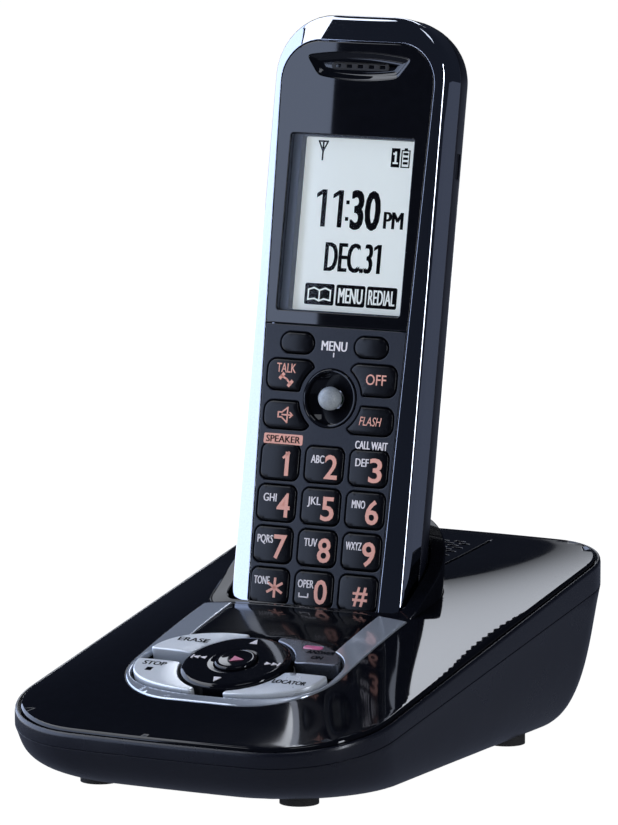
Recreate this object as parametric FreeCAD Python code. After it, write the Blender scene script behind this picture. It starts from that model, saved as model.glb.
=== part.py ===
"""Cordless phone with its answering base.

Frame: millimetres, +Z up, +X to the right, +Y to the back. The origin is the centre of the
base's footprint, at the level of the feet. The handset stands in the cradle and leans back.

Handset pieces are drawn lying flat, with u across (X), v up the handset (Y) and w out of its
face (Z), from the centre of the bottom middle key, and are stood up in the cradle at the end.
Buttons on the base are drawn the same way, on the slope of the deck under them.
"""
import FreeCAD, Part
import math
import os

# ---------------------------------------------------------------- clearances
KEY_GAP = 0.25          # round a key or button that slides
SEAT_GAP = 0.10         # round a fixed piece in its seat
REST_GAP = 0.30         # between a moving piece and what it rests on

# ---------------------------------------------------------------- base
DECK_LENGTH = 146.5
DECK_WIDTH = 94.2
DECK_FRONT_R = 24.0
DECK_BACK_R = 16.0
DECK_END_R = 700.0      # the ends bow out a little
DECK_WALL = 2.2
DECK_EDGE_Z = 29.75     # height of the deck's edge at the middle of its length
DECK_SLOPE = 0.19
CROWN = 5.7             # how far the middle of the deck rises over its edge
CROWN_POWER = 1.4

RIM_PROUD = 1.4         # the rim stands outside the deck
RIM_WALL = 2.4
RIM_LEDGE = 3.6         # how far the deck's seat reaches in
RIM_DROP = 0.6          # the rim's top edge lies below the deck's
PARTING_Z = 23.93
PARTING_SLOPE = 0.1689

TUB_WALL = 2.2
TUB_FLOOR = 2.4
TUB_BOTTOM_Z = 2.0
# share of the way down, then how far the side, the front, the back and the corners move in
TUB_SECTIONS = ((0.0, 0.0, 0.0, 0.0, 0.0), (0.35, 0.7, 1.2, 3.2, 0.5), (0.7, 2.0, 3.8, 6.6, 1.5),
                (0.9, 4.2, 7.2, 9.4, 2.5), (1.0, 8.0, 12.0, 13.0, 3.0))
BOSS_R = 3.4
SCREW_R = 1.3
SCREW_HEAD_R = 2.4

FOOT_R = 4.6
FOOT_SINK = 0.8
FOOT_FRONT = (26.5, -54.0)
FOOT_BACK = (37.5, 31.0)

LINE_JACK_X = 12.0
POWER_JACK_X = -12.0
JACK_Z = 14.0
JACK_BACK_Y = 65.0
LINE_JACK_SIZE = (11.0, 14.0, 11.0)
LINE_SOCKET = (8.2, 11.0, 7.4)
POWER_JACK_SIZE = (9.0, 13.0, 9.0)
POWER_HOLE_R = 2.75
POWER_PIN_R = 0.85
BOARD_Z = 7.0

# controls on the base
CLUSTER_Y = -35.8
CLUSTER_OVAL = (25.2, 15.1)
OVAL_POWER = 2.67
ROCKER_R = 13.2
ROCKER_TOP = 1.6
ROCKER_HOLE_R = 5.4
PIVOT_R = 7.6
PIVOT_HOLE_R = 6.2
PIVOT_GAP = 0.5         # room for the pivot ring to tilt over the well's floor
PLAY_R = 5.0
PLAY_TOP = 2.1
BUTTON_INNER_R = 13.9
BUTTON_TOP = 0.9
BUTTON_BOTTOM = -2.8
BUTTON_END_GAP = 4.0    # half the gap at the front and the back of the ring
BUTTON_SIDE_GAP = (-1.7, 3.3)
WELL_FLOOR = -3.6
WELL_PLATE = 1.6
STEM_R = 1.2
LED_AT = (14.7, 11.3)
LED_SIZE = (5.2, 1.8)
STEM_END = -5.4
TRIM_HALF = 27.4
TRIM_FRONT_Y = -54.0
TRIM_BACK_Y = -2.0
TRIM_R = 19.0
TRIM_THICK = 1.2
TRIM_PROUD = 0.25
TRIM_LEG_INNER = 19.8
TRIM_WELL = 0.8         # the trim's oval stands this far outside the buttons

GRILLE_Y = (40.0, 64.0)
GRILLE_HALF = 13.0
SLOT_SIZE = (2.8, 1.0)
SLOT_PITCH = (4.4, 1.9)
GROOVE_X = 15.6
SPEAKER_R = 13.0
SPEAKER_DEPTH = 9.0

# ---------------------------------------------------------------- handset
LEAN = 10.39            # degrees from upright
KEY_ORIGIN = (0.0, 2.5, 38.8)
HALF_WIDTH = 23.4
FACE_HALF = 22.9        # at the front edge of the case
TOP_V = 138.3
FOOT_V = -16.7
TOP_R = 15.0
FOOT_CORNER_R = 9.0
SIDE_W = -3.2           # where the sloping front edge meets the side
PARTING_W = -9.0
FRONT_W = -1.2
BACK_R = 15.0           # rounding of the back
CASE_WALL = 1.6

FACE_TOP_V = 131.9
FACE_TOP_HALF = 20.9
FACE_FOOT_HALF = 17.3
FACE_FOOT_V = -15.5
FACE_R = 10.0
PLATE_THICK = 1.8
LEDGE_REACH = 1.4       # the ledge that the face's plates rest on
PANEL_SPLIT_V = 63.2

WINDOW_HALF = 16.7
WINDOW_V = (66.5, 109.3)
LENS_THICK = 1.1
GLASS_TOP_W = -4.0
GLASS_THICK = 0.9
EAR_V = (122.7, 129.4)
EAR_HALF = 14.0

KEY_SIZE = (10.2, 8.6)
KEY_PITCH = (12.0, 10.0)
KEY_R = 1.8
KEY_RISE = 0.5
KEY_TRAVEL = 0.6
KEY_FLANGE = 0.2        # a key's hidden flange reaches this far past its hole
SOFT_KEY_AT = (10.0, 58.8)
SOFT_KEY_SIZE = (8.8, 4.9)
CALL_KEY_U = (5.0, 17.4)
CALL_UPPER_V = (47.3, 54.7)
CALL_LOWER_V = (38.0, 44.6)
CALL_RING_R = 8.7       # the call keys stop at this circle round the stick
STICK_V = 46.0
DISH_R = 7.0
BALL_R = 2.85
STICK_STEM_R = 1.0
STICK_PIVOT_W = -4.2
GIMBAL_R = 2.6
CHAMBER_R = 3.6
NECK_R = 1.9
BOWL_R = 10.0
BOWL_DEPTH = 3.1
DISH_LIP = 0.7

MAT_TOP_W = -3.9
BOARD_TOP_W = -5.0
BOARD_THICK = 1.2

CELL_R = 5.2
CELL_LENGTH = 44.0
CELL_CLEAR = 0.98       # between the cells and the battery cover
CELL_V = 3.0
COVER_HALF = 17.0
COVER_V = (-8.0, 52.0)
COVER_THICK = 1.2
CLIP_NOTCH_V = (101.0, 107.0)
LOUDSPEAKER_V = 84.0

# ---------------------------------------------------------------- cradle
COLLAR_WALL = 2.0
COLLAR_FLARE = 4.4      # the collar's reach outside the handset, at the deck
COLLAR_FRONT = 2.5
POCKET_GAP = 0.6
POCKET_FLOOR = 2.0
COLLAR_TOP_V = 28.0
COLLAR_FLARE_V = 9.0
RIM_LINE = (34.5, 0.6)  # the collar's top edge: height at y = 0, and slope
CONTACT_U = 8.0
CONTACT_W = -6.0
CONTACT_SIZE = (3.0, 5.0)
PAD_THICK = 0.6
PAD_MARGIN = 0.4        # a pad is this much larger than its contact, all round
PAD_PROUD = 0.05


def vec(x, y, z):
    return FreeCAD.Vector(x, y, z)


def box(x_range, y_range, z_range):
    size = [high - low for low, high in (x_range, y_range, z_range)]
    return Part.makeBox(*size, vec(x_range[0], y_range[0], z_range[0]))


def disc(radius, x, y, z_range):
    return Part.makeCylinder(radius, z_range[1] - z_range[0], vec(x, y, z_range[0]))


def fuse(shapes):
    first, rest = shapes[0], shapes[1:]
    return first.fuse(rest).removeSplitter() if rest else first


def prism(wire, z_range):
    """A wire drawn at z = 0, extruded over z_range."""
    face = Part.Face(wire)
    face.translate(vec(0, 0, z_range[0]))
    return face.extrude(vec(0, 0, z_range[1] - z_range[0]))


def rounded_wire(x_range, y_range, radius):
    """A rectangle with round corners, in the XY plane."""
    (x0, x1), (y0, y1) = x_range, y_range
    edges = []
    for x, y, start in ((x1, y0, -90), (x1, y1, 0), (x0, y1, 90), (x0, y0, 180)):
        cx = x - radius if x == x1 else x + radius
        cy = y - radius if y == y1 else y + radius
        circle = Part.Circle(vec(cx, cy, 0), vec(0, 0, 1), radius)
        first = math.radians(start)
        edges.append(Part.Arc(circle, first, first + math.pi / 2).toShape())
    return closed(edges)


def closed(arcs):
    """Arcs in order, joined by straight lines into a closed wire."""
    edges = []
    for arc, following in zip(arcs, arcs[1:] + arcs[:1]):
        edges.append(arc)
        end = arc.Vertexes[-1].Point
        start = following.Vertexes[0].Point
        if end.distanceToPoint(start) > 1e-6:
            edges.append(Part.makeLine(end, start))
    return Part.Wire(edges)


def rounded_prism(x_range, y_range, radius, z_range):
    return prism(rounded_wire(x_range, y_range, radius), z_range)


def oval_prism(half_x, half_y, z_range):
    """A superellipse: four quarters of one smooth curve."""
    points = []
    steps = 12
    for i in range(4 * steps):
        angle = math.pi / 2 * i / steps
        c, s = math.cos(angle), math.sin(angle)
        x = half_x * math.copysign(abs(c) ** (2 / OVAL_POWER), c)
        y = half_y * math.copysign(abs(s) ** (2 / OVAL_POWER), s)
        points.append(vec(x, y, 0))
    curve = Part.BSplineCurve()
    curve.interpolate(Points=points, PeriodicFlag=True)
    return prism(Part.Wire(curve.toShape()), z_range)


def bowed_wire(half_width, half_length, front_r, back_r, inset=0.0):
    """The base's plan: straight sides, bowed ends and four round corners, all moved in by inset."""
    half = half_width - inset
    end_r = DECK_END_R - inset
    arcs = []
    for sign_x, sign_y in ((1, -1), (1, 1), (-1, 1), (-1, -1)):
        radius = max((front_r if sign_y < 0 else back_r) - inset, 2.0)
        middle_y = sign_y * (half_length - DECK_END_R)
        centre_x = half - radius
        centre_y = middle_y + sign_y * math.sqrt((end_r - radius) ** 2 - centre_x ** 2)
        bow = math.atan2(sign_y * (centre_y - middle_y), centre_x)
        side = 0.0 if sign_x > 0 else math.pi
        towards = sign_y * bow if sign_x > 0 else math.pi - sign_y * bow
        start, end = (side, towards) if sign_x == sign_y else (towards, side)
        circle = Part.Circle(vec(sign_x * centre_x, centre_y, 0), vec(0, 0, 1), radius)
        arcs.append(Part.Arc(circle, start, end if end > start else end + 2 * math.pi).toShape())
    bowed = []
    for arc, following in zip(arcs, arcs[1:] + arcs[:1]):
        bowed.append(arc)
        start, end = arc.Vertexes[-1].Point, following.Vertexes[0].Point
        if abs(start.x - end.x) < 1e-6:
            bowed.append(Part.makeLine(start, end))
        else:
            sign_y = 1 if start.y > 0 else -1
            top = vec(0, sign_y * (half_length - inset), 0)
            bowed.append(Part.Arc(start, top, end).toShape())
    return Part.Wire(bowed)


def edge_z(y):
    return DECK_EDGE_Z + DECK_SLOPE * y


def parting_z(y):
    return PARTING_Z + PARTING_SLOPE * y


def deck_z(x, y):
    """Height of the crowned deck."""
    along = max(math.cos(math.pi * y / DECK_LENGTH), 0.0) ** CROWN_POWER
    across = 1 - abs(2 * x / DECK_WIDTH) ** 3
    return edge_z(y) + CROWN * along * across


def below_plane(height, slope):
    """Everything under the plane z = height + slope * y."""
    reach, depth = 120.0, 60.0
    corners = [vec(-reach, -reach, -depth), vec(-reach, reach, -depth),
               vec(-reach, reach, height + slope * reach),
               vec(-reach, -reach, height - slope * reach)]
    face = Part.Face(Part.makePolygon(corners + corners[:1]))
    return face.extrude(vec(2 * reach, 0, 0))


def below_deck(offset):
    """Everything under the deck's surface, moved up by offset."""
    half_x, half_y = DECK_WIDTH / 2 + 4, DECK_LENGTH / 2 + 4
    columns, rows = 12, 24
    grid = []
    for i in range(columns + 1):
        x = half_x * (2 * i / columns - 1)
        grid.append([vec(x, y, deck_z(x, y) + offset)
                     for y in (half_y * (2 * j / rows - 1) for j in range(rows + 1))])
    surface = Part.BSplineSurface()
    surface.interpolate(grid)
    return surface.toShape().extrude(vec(0, 0, -70))


DECK_TOP = below_deck(0.0)
DECK_UNDER = below_deck(-DECK_WALL)
TRIM_UNDER = below_deck(-TRIM_THICK)
TALL = (-5.0, 90.0)


def cluster_place():
    """Frame of the controls: on the deck, along its slope."""
    step = 0.5
    slope = (deck_z(0, CLUSTER_Y + step) - deck_z(0, CLUSTER_Y - step)) / (2 * step)
    turn = FreeCAD.Rotation(vec(1, 0, 0), math.degrees(math.atan(slope)))
    return FreeCAD.Placement(vec(0, CLUSTER_Y, deck_z(0, CLUSTER_Y)), turn)


def handset_place():
    return FreeCAD.Placement(vec(*KEY_ORIGIN), FreeCAD.Rotation(vec(1, 0, 0), 90 - LEAN))


def placed(shape, placement):
    return shape.transformed(placement.toMatrix(), True)


CLUSTER = cluster_place()
HANDSET = handset_place()
NODES = {}


# ---------------------------------------------------------------- handset outlines
def case_wire(w, inset, half=HALF_WIDTH):
    top_r = max(TOP_R - inset, 4.0)
    foot_r = max(FOOT_CORNER_R - inset, 3.0)
    return outline_wire(half - inset, half - inset, FOOT_V + inset, TOP_V - inset, foot_r, top_r, w)


def outline_wire(foot_half, top_half, foot_v, top_v, foot_r, top_r, w):
    """A tall outline with four round corners, whose sides may lean in towards the foot."""
    lean = math.atan2(top_half - foot_half, top_v - foot_v)
    arcs = []
    for sign_u, end_v, half, radius in ((1, foot_v, foot_half, foot_r), (1, top_v, top_half, top_r),
                                        (-1, top_v, top_half, top_r), (-1, foot_v, foot_half, foot_r)):
        upward = 1 if end_v == top_v else -1
        centre_v = end_v - upward * radius
        side_u = foot_half + (centre_v - foot_v) * math.tan(lean)
        centre_u = side_u - radius / math.cos(lean)
        side = -lean
        end = upward * math.pi / 2
        low, high = (min(side, end), max(side, end))
        if sign_u < 0:
            low, high = math.pi - high, math.pi - low
        circle = Part.Circle(vec(sign_u * centre_u, centre_v, w), vec(0, 0, 1), radius)
        arcs.append(Part.Arc(circle, low, high).toShape())
    return closed(arcs)


def face_wire(inset, w=0.0):
    return outline_wire(FACE_FOOT_HALF - inset, FACE_TOP_HALF - inset, FACE_FOOT_V + inset,
                        FACE_TOP_V - inset, 4.0 - inset, FACE_R - inset, w)


def front_solid(inset):
    """The front half of the handset, filled, moved in by inset."""
    wires = [case_wire(PARTING_W - inset / 4, inset), case_wire(SIDE_W, inset)]
    wires.append(case_wire(FRONT_W - inset, inset, FACE_HALF))
    wires.append(face_wire(inset - SEAT_GAP, -inset))
    return Part.makeLoft(wires, True, True)


def back_solid(inset):
    """The rounded back half of the handset, filled, moved in by inset."""
    wires = []
    for degrees in (0, 25, 45, 62, 76, 87):
        angle = math.radians(degrees)
        reach = (BACK_R - inset)
        move = inset + reach * (1 - math.cos(angle))
        wires.append(case_wire(PARTING_W - reach * math.sin(angle), move))
    return Part.makeLoft(wires, True, False)


def back_depth(inset=0.0):
    return PARTING_W - (BACK_R - inset) * math.sin(math.radians(87))


# ---------------------------------------------------------------- handset casing
def key_places():
    """Name, u and v of each number key."""
    names = (("star", "0", "hash"), ("7", "8", "9"), ("4", "5", "6"), ("1", "2", "3"))
    for row, labels in enumerate(names):
        for column, label in enumerate(labels):
            yield "key_" + label, (column - 1) * KEY_PITCH[0], row * KEY_PITCH[1]


def number_key(u, v, grow, w_range):
    half_u, half_v = KEY_SIZE[0] / 2 + grow, KEY_SIZE[1] / 2 + grow
    return rounded_prism((u - half_u, u + half_u), (v - half_v, v + half_v), KEY_R + grow, w_range)


def soft_key(side, grow, w_range):
    half_u, half_v = SOFT_KEY_SIZE[0] / 2 + grow, SOFT_KEY_SIZE[1] / 2 + grow
    u, v = side * SOFT_KEY_AT[0], SOFT_KEY_AT[1]
    radius = half_v - 0.05
    return rounded_prism((u - half_u, u + half_u), (v - half_v, v + half_v), radius, w_range)


def call_key(side, v_range, grow, w_range):
    inner, outer = CALL_KEY_U[0] - grow, CALL_KEY_U[1] + grow
    u_range = (inner, outer) if side > 0 else (-outer, -inner)
    v_grown = (v_range[0] - grow, v_range[1] + grow)
    key = rounded_prism(u_range, v_grown, 2.2 + grow, w_range)
    return key.cut(disc(CALL_RING_R - grow, 0, STICK_V, w_range))


def all_keys(grow, w_range):
    """Every key of the handset by name, moved out by grow, over w_range."""
    keys = {name: number_key(u, v, grow, w_range) for name, u, v in key_places()}
    keys["soft_key_left"] = soft_key(-1, grow, w_range)
    keys["soft_key_right"] = soft_key(1, grow, w_range)
    keys["talk_key"] = call_key(-1, CALL_UPPER_V, grow, w_range)
    keys["off_key"] = call_key(1, CALL_UPPER_V, grow, w_range)
    keys["speakerphone_key"] = call_key(-1, CALL_LOWER_V, grow, w_range)
    keys["flash_key"] = call_key(1, CALL_LOWER_V, grow, w_range)
    return keys


def handset_front_case():
    shell = front_solid(0.0).cut(front_solid(CASE_WALL).common(
        box((-40, 40), (-40, 160), (PARTING_W - 1, -PLATE_THICK - CASE_WALL))))
    shell = shell.cut(prism(face_wire(0.0), (-PLATE_THICK, 1)))
    shell = shell.cut(prism(face_wire(LEDGE_REACH), (-PLATE_THICK - CASE_WALL - 1, 1)))
    shell = shell.cut(charge_pads(SEAT_GAP))
    shell = shell.cut(list(all_keys(KEY_GAP, (-PLATE_THICK - CASE_WALL - 1, 1)).values()))
    ribs = []
    for v in (2.0, 60.0, 120.0):
        for side in (-1, 1):
            rib_u = (18.4, 19.8) if side > 0 else (-19.8, -18.4)
            ribs.append(box(rib_u, (v - 2, v + 2), (BOARD_TOP_W, -PLATE_THICK - CASE_WALL / 2)))
    return fuse([shell] + [rib.cut(prism(face_wire(0.0), (-PLATE_THICK, 1))) for rib in ribs])


def handset_rear_case():
    shell = back_solid(0.0).cut(back_solid(CASE_WALL).common(
        box((-40, 40), (-40, 160), (-60, PARTING_W + 0.001))))
    cover_hole = box((-COVER_HALF - SEAT_GAP, COVER_HALF + SEAT_GAP),
                     (FOOT_V - 2, COVER_V[1] + SEAT_GAP), (-60, PARTING_W - 4))
    shell = shell.cut(cover_hole)
    skin_depth = COVER_THICK + REST_GAP
    skin = back_solid(skin_depth).cut(back_solid(skin_depth + CASE_WALL))
    skin = skin.common(box((-COVER_HALF - 1.4, COVER_HALF + 1.4),
                           (FOOT_V - 2, COVER_V[0] + 1.0), (-60, PARTING_W - 3)))
    floor_w = cell_w() + CELL_R + REST_GAP
    wall_u = COVER_HALF + 1.0
    core = back_solid(CASE_WALL / 2)
    floor = box((-wall_u, wall_u), (COVER_V[0], COVER_V[1] + 2.4), (floor_w, floor_w + 1.4))
    top_wall = box((-wall_u, wall_u), (COVER_V[1] + 0.8, COVER_V[1] + 2.4), (-40, floor_w + 1.4))
    side_walls = [box((min(s * (COVER_HALF + 0.2), s * wall_u), max(s * (COVER_HALF + 0.2), s * wall_u)),
                      (COVER_V[0], COVER_V[1] + 2.4), (-40, floor_w + 1.4)) for s in (-1, 1)]
    foot_wall = box((-wall_u, wall_u), (COVER_V[0], COVER_V[0] + 1.0), (-40, floor_w + 1.4))
    foot_wall = foot_wall.common(back_solid(skin_depth + CASE_WALL / 2))
    bay = [piece.common(core) for piece in [floor, top_wall] + side_walls]
    bosses = [disc(BOSS_R, u, v, (-40, PARTING_W)).common(core) for u, v in screw_places()]
    case = fuse([shell, skin, foot_wall] + bay + bosses)
    for u, v in screw_places():
        case = case.cut(disc(SCREW_R + SEAT_GAP, u, v, (-60, PARTING_W + 1)))
        case = case.cut(disc(SCREW_HEAD_R + SEAT_GAP, u, v, (-60, screw_seat_w())))
    for side in (-1, 1):
        notch_u = (HALF_WIDTH - 1.0, HALF_WIDTH + 1) if side > 0 else (-HALF_WIDTH - 1, -HALF_WIDTH + 1.0)
        case = case.cut(box(notch_u, CLIP_NOTCH_V, (PARTING_W - 4.0, PARTING_W - 1.0)))
    for row in range(5):
        slot_v = LOUDSPEAKER_V - 6 + 3 * row
        case = case.cut(box((-7, 7), (slot_v - 0.5, slot_v + 0.5), (-60, PARTING_W - 10)))
    return case


def screw_places():
    return ((-13.0, 118.0), (13.0, 118.0))


def screw_seat_w():
    return PARTING_W - 8.0


def handset_screws():
    screws = []
    for u, v in screw_places():
        shank = disc(SCREW_R, u, v, (screw_seat_w(), PARTING_W))
        head = disc(SCREW_HEAD_R, u, v, (screw_seat_w() - 1.6, screw_seat_w()))
        slot = box((u - 1.6, u + 1.6), (v - 0.3, v + 0.3), (screw_seat_w() - 2, screw_seat_w() - 1.0))
        screws.append(shank.fuse(head).cut(slot))
    return Part.makeCompound(screws)


def battery_cover():
    cover = back_solid(0.0).cut(back_solid(COVER_THICK))
    cover = cover.common(box((-COVER_HALF, COVER_HALF), COVER_V, (-60, PARTING_W - 4)))
    for row in range(4):
        ridge_v = COVER_V[0] + 5 + 1.6 * row
        cover = cover.cut(box((-6, 6), (ridge_v, ridge_v + 0.7), (-60, back_depth() + 0.4)))
    return cover


def face_panel():
    plate = prism(face_wire(SEAT_GAP), (-PLATE_THICK, 0))
    plate = plate.common(box((-40, 40), (PANEL_SPLIT_V + SEAT_GAP / 2, 160), (-9, 9)))
    window = rounded_prism((-WINDOW_HALF, WINDOW_HALF), WINDOW_V, 0.8, (-9, 9))
    middle = (EAR_V[0] + EAR_V[1]) / 2
    ear = ear_recess(0.0, (-1.2, 1))
    slot = rounded_prism((-8, 8), (middle - 1.1, middle + 1.1), 1.0, (-9, 9))
    return plate.cut(window).cut(ear).cut(slot)


def ear_recess(grow, w_range):
    """A boat-shaped recess, wider at its top."""
    top, foot = EAR_V[1] + grow, EAR_V[0] - grow
    half_top, half_foot = EAR_HALF + grow, EAR_HALF - 3.4 + grow
    points = [vec(-half_top, top - 1.2, 0), vec(0, top, 0), vec(half_top, top - 1.2, 0)]
    low = [vec(half_foot, foot + 0.9, 0), vec(0, foot, 0), vec(-half_foot, foot + 0.9, 0)]
    wire = Part.Wire([Part.Arc(*points).toShape(), Part.makeLine(points[2], low[0]),
                      Part.Arc(*low).toShape(), Part.makeLine(low[2], points[0])])
    return prism(wire, w_range)


def earpiece_grille():
    middle = (EAR_V[0] + EAR_V[1]) / 2
    bar = rounded_prism((-7.8, 7.8), (middle - 0.95, middle + 0.95), 0.9, (-PLATE_THICK, -1.0))
    flange = rounded_prism((-9, 9), (middle - 2.2, middle + 2.2), 1.5, (-PLATE_THICK - 0.8, -PLATE_THICK))
    holes = [box((u - 0.7, u + 0.7), (middle - 0.4, middle + 0.4), (-9, 9)) for u in (-6, -3, 0, 3, 6)]
    return fuse([bar, flange]).cut(Part.makeCompound(holes))


def earpiece_speaker():
    middle = (EAR_V[0] + EAR_V[1]) / 2
    top = -PLATE_THICK - 0.8
    return fuse([disc(5.0, 0, middle - 2, (BOARD_TOP_W, top)), disc(3.2, 0, middle - 2, (BOARD_TOP_W, top))])


def keypad_plate():
    plate = prism(face_wire(SEAT_GAP), (-PLATE_THICK, 0))
    plate = plate.common(box((-40, 40), (-40, PANEL_SPLIT_V - SEAT_GAP / 2), (-9, 9)))
    for hole in all_keys(KEY_GAP, (-9, 9)).values():
        plate = plate.cut(hole)
    plate = plate.cut(disc(DISH_R + SEAT_GAP, 0, STICK_V, (-9, 9)))
    return plate.cut(disc(0.5, 0, -8.0, (-9, 9)))


def lcd_lens():
    gap = SEAT_GAP
    return rounded_prism((-WINDOW_HALF + gap, WINDOW_HALF - gap), (WINDOW_V[0] + gap, WINDOW_V[1] - gap),
                         0.7, (-LENS_THICK - 0.1, -0.1))


def lcd_module():
    """The glass with its frame, which reaches up to the window."""
    outer = rounded_prism((-WINDOW_HALF - 1.2, WINDOW_HALF + 1.2), (WINDOW_V[0] - 1.2, WINDOW_V[1] + 1.2),
                          1.0, (GLASS_TOP_W - GLASS_THICK, -PLATE_THICK - 0.05))
    well = rounded_prism((-WINDOW_HALF + 0.4, WINDOW_HALF - 0.4), (WINDOW_V[0] + 0.4, WINDOW_V[1] - 0.4),
                         0.7, (-9, 9))
    gap = 0.4 + SEAT_GAP / 2
    glass = box((-WINDOW_HALF + gap, WINDOW_HALF - gap), (WINDOW_V[0] + gap, WINDOW_V[1] - gap),
                (GLASS_TOP_W - GLASS_THICK, GLASS_TOP_W))
    return Part.makeCompound([outer.cut(well), glass])


def key_mat():
    bottom = BOARD_TOP_W
    sheet = rounded_prism((-17.5, 17.5), (-6, 62), 2.0, (bottom, MAT_TOP_W))
    return sheet.cut(disc(DISH_R + 0.6, 0, STICK_V, (-9, 9)))


def handset_board():
    board = rounded_prism((-19.6, 19.6), (-11, 129), 3.0, (BOARD_TOP_W - BOARD_THICK, BOARD_TOP_W))
    chips = [box((-9, 2), (72, 84), (BOARD_TOP_W - BOARD_THICK - 1.4, BOARD_TOP_W - BOARD_THICK)),
             box((5, 13), (90, 98), (BOARD_TOP_W - BOARD_THICK - 1.8, BOARD_TOP_W - BOARD_THICK)),
             box((-14, -5), (100, 112), (BOARD_TOP_W - BOARD_THICK - 2.2, BOARD_TOP_W - BOARD_THICK))]
    microphone = disc(1.8, 0, -8.0, (BOARD_TOP_W, -PLATE_THICK - 0.2))
    return fuse([board, microphone] + chips)


# ---------------------------------------------------------------- handset insides
def cell_w():
    """Middle of the cells, over the battery cover."""
    return back_depth(COVER_THICK) + CELL_CLEAR + CELL_R


def battery_cells():
    cells = []
    along = vec(0, 1, 0)
    for side in (-1, 1):
        u = side * (CELL_R + 0.3)
        cell = Part.makeCylinder(CELL_R, CELL_LENGTH, vec(u, CELL_V, cell_w()), along)
        nub = Part.makeCylinder(1.8, 1.0, vec(u, CELL_V + CELL_LENGTH, cell_w()), along)
        cells.append(cell.fuse(nub))
    return Part.makeCompound(cells)


def battery_contacts():
    """Plates at the two ends of each cell."""
    plates = []
    for side in (-1, 1):
        u = side * (CELL_R + 0.3)
        low = (COVER_V[0] + 1.0, CELL_V - SEAT_GAP)
        high = (CELL_V + CELL_LENGTH + 1.0 + SEAT_GAP, COVER_V[1] + 0.8)
        for v_range in (low, high):
            plates.append(box((u - 3.4, u + 3.4), v_range, (cell_w() - 3, cell_w() + 3)))
    return Part.makeCompound(plates)


def handset_loudspeaker():
    back = back_depth(CASE_WALL) + SEAT_GAP
    frame = disc(10.0, 0, LOUDSPEAKER_V, (back, back + 3.0))
    magnet = disc(6.0, 0, LOUDSPEAKER_V, (back + 3.0, back + 6.5))
    return fuse([frame, magnet])


def charge_pads(grow=0.0):
    pads = []
    for side in (-1, 1):
        u = side * CONTACT_U
        half_u = CONTACT_SIZE[0] / 2 + PAD_MARGIN + grow
        half_w = CONTACT_SIZE[1] / 2 + PAD_MARGIN + grow
        low = FOOT_V - PAD_PROUD
        pads.append(box((u - half_u, u + half_u), (low - 10 * grow, low + PAD_THICK),
                        (CONTACT_W - half_w, CONTACT_W + half_w)))
    return Part.makeCompound(pads)


def joystick_housing():
    """Dish with a raised lip, and the switch case under it."""
    outer = disc(DISH_R, 0, STICK_V, (BOARD_TOP_W, 0.35))
    bowl = Part.makeSphere(BOWL_R, vec(0, STICK_V, BOWL_R - BOWL_DEPTH))
    lip = disc(DISH_R - DISH_LIP, 0, STICK_V, (-1, 2))
    chamber = disc(CHAMBER_R, 0, STICK_V, (BOARD_TOP_W + 0.2, -3.35))
    neck = disc(NECK_R, 0, STICK_V, (-6, 0))
    dish = bowl.common(lip.fuse(disc(DISH_R - DISH_LIP, 0, STICK_V, (-9, 0))))
    return outer.cut(dish).cut(chamber).cut(neck)


def stick_gimbal():
    ring = disc(GIMBAL_R, 0, STICK_V, (STICK_PIVOT_W - 0.2, STICK_PIVOT_W + 0.2))
    return ring.cut(disc(STICK_STEM_R + 0.45, 0, STICK_V, (-9, 0)))


def stick_stem():
    stem = disc(STICK_STEM_R, 0, STICK_V, (STICK_PIVOT_W - 0.3, -BALL_R + 1.6))
    return stem


def stick_knob():
    ball = Part.makeSphere(BALL_R, vec(0, STICK_V, 0))
    socket = disc(STICK_STEM_R + 0.05, 0, STICK_V, (-BALL_R - 1, -BALL_R + 2.4))
    return ball.cut(socket)


def handset_keys():
    rise = all_keys(0.0, (-PLATE_THICK - 0.3, KEY_RISE))
    flanges = all_keys(KEY_GAP + KEY_FLANGE, (-PLATE_THICK - 1.0, -PLATE_THICK - 0.3))
    for name, cap in rise.items():
        NODES[name] = placed(fuse([cap, flange_clear(name, flanges)]), HANDSET)


def flange_clear(name, flanges):
    """A key's flange, kept off the case's ledge and the stick's housing."""
    flange = flanges[name].common(prism(face_wire(LEDGE_REACH + KEY_GAP), (-9, 9)))
    if name in ("talk_key", "off_key", "speakerphone_key", "flash_key"):
        flange = flange.cut(disc(DISH_R + REST_GAP, 0, STICK_V, (-9, 9)))
    return flange


# ---------------------------------------------------------------- base casing
def deck_plan(inset=0.0):
    return bowed_wire(DECK_WIDTH / 2, DECK_LENGTH / 2, DECK_FRONT_R, DECK_BACK_R, inset)


def rim_plan(inset=0.0):
    return bowed_wire(DECK_WIDTH / 2 + RIM_PROUD, DECK_LENGTH / 2 + RIM_PROUD,
                      DECK_FRONT_R + RIM_PROUD, DECK_BACK_R + RIM_PROUD, inset)


def trim_outline(inset=0.0):
    """The trim's outer edge: a U with round front corners, closed at the back."""
    half, front, radius = TRIM_HALF - inset, TRIM_FRONT_Y + inset, TRIM_R - inset
    block = rounded_prism((-half, half), (front, front + 3 * radius), radius, TALL)
    legs = box((-half, half), (front + radius, TRIM_BACK_Y - inset), TALL)
    return block.common(box((-60, 60), (front - 1, front + radius + 1), TALL)).fuse(legs).removeSplitter()


def oval_column(grow):
    """The controls' oval, moved out by grow, standing on the slope of the deck."""
    oval = oval_prism(CLUSTER_OVAL[0] + grow, CLUSTER_OVAL[1] + grow, (-30, 30))
    return placed(oval, CLUSTER)


def above_cluster(w):
    """Everything over the plane w of the controls' frame."""
    return placed(box((-80, 80), (-80, 80), (w, w + 60)), CLUSTER)


def leg_gap(grow):
    half = TRIM_LEG_INNER + grow
    return box((-half, half), (CLUSTER_Y, TRIM_BACK_Y + 6), TALL)


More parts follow.
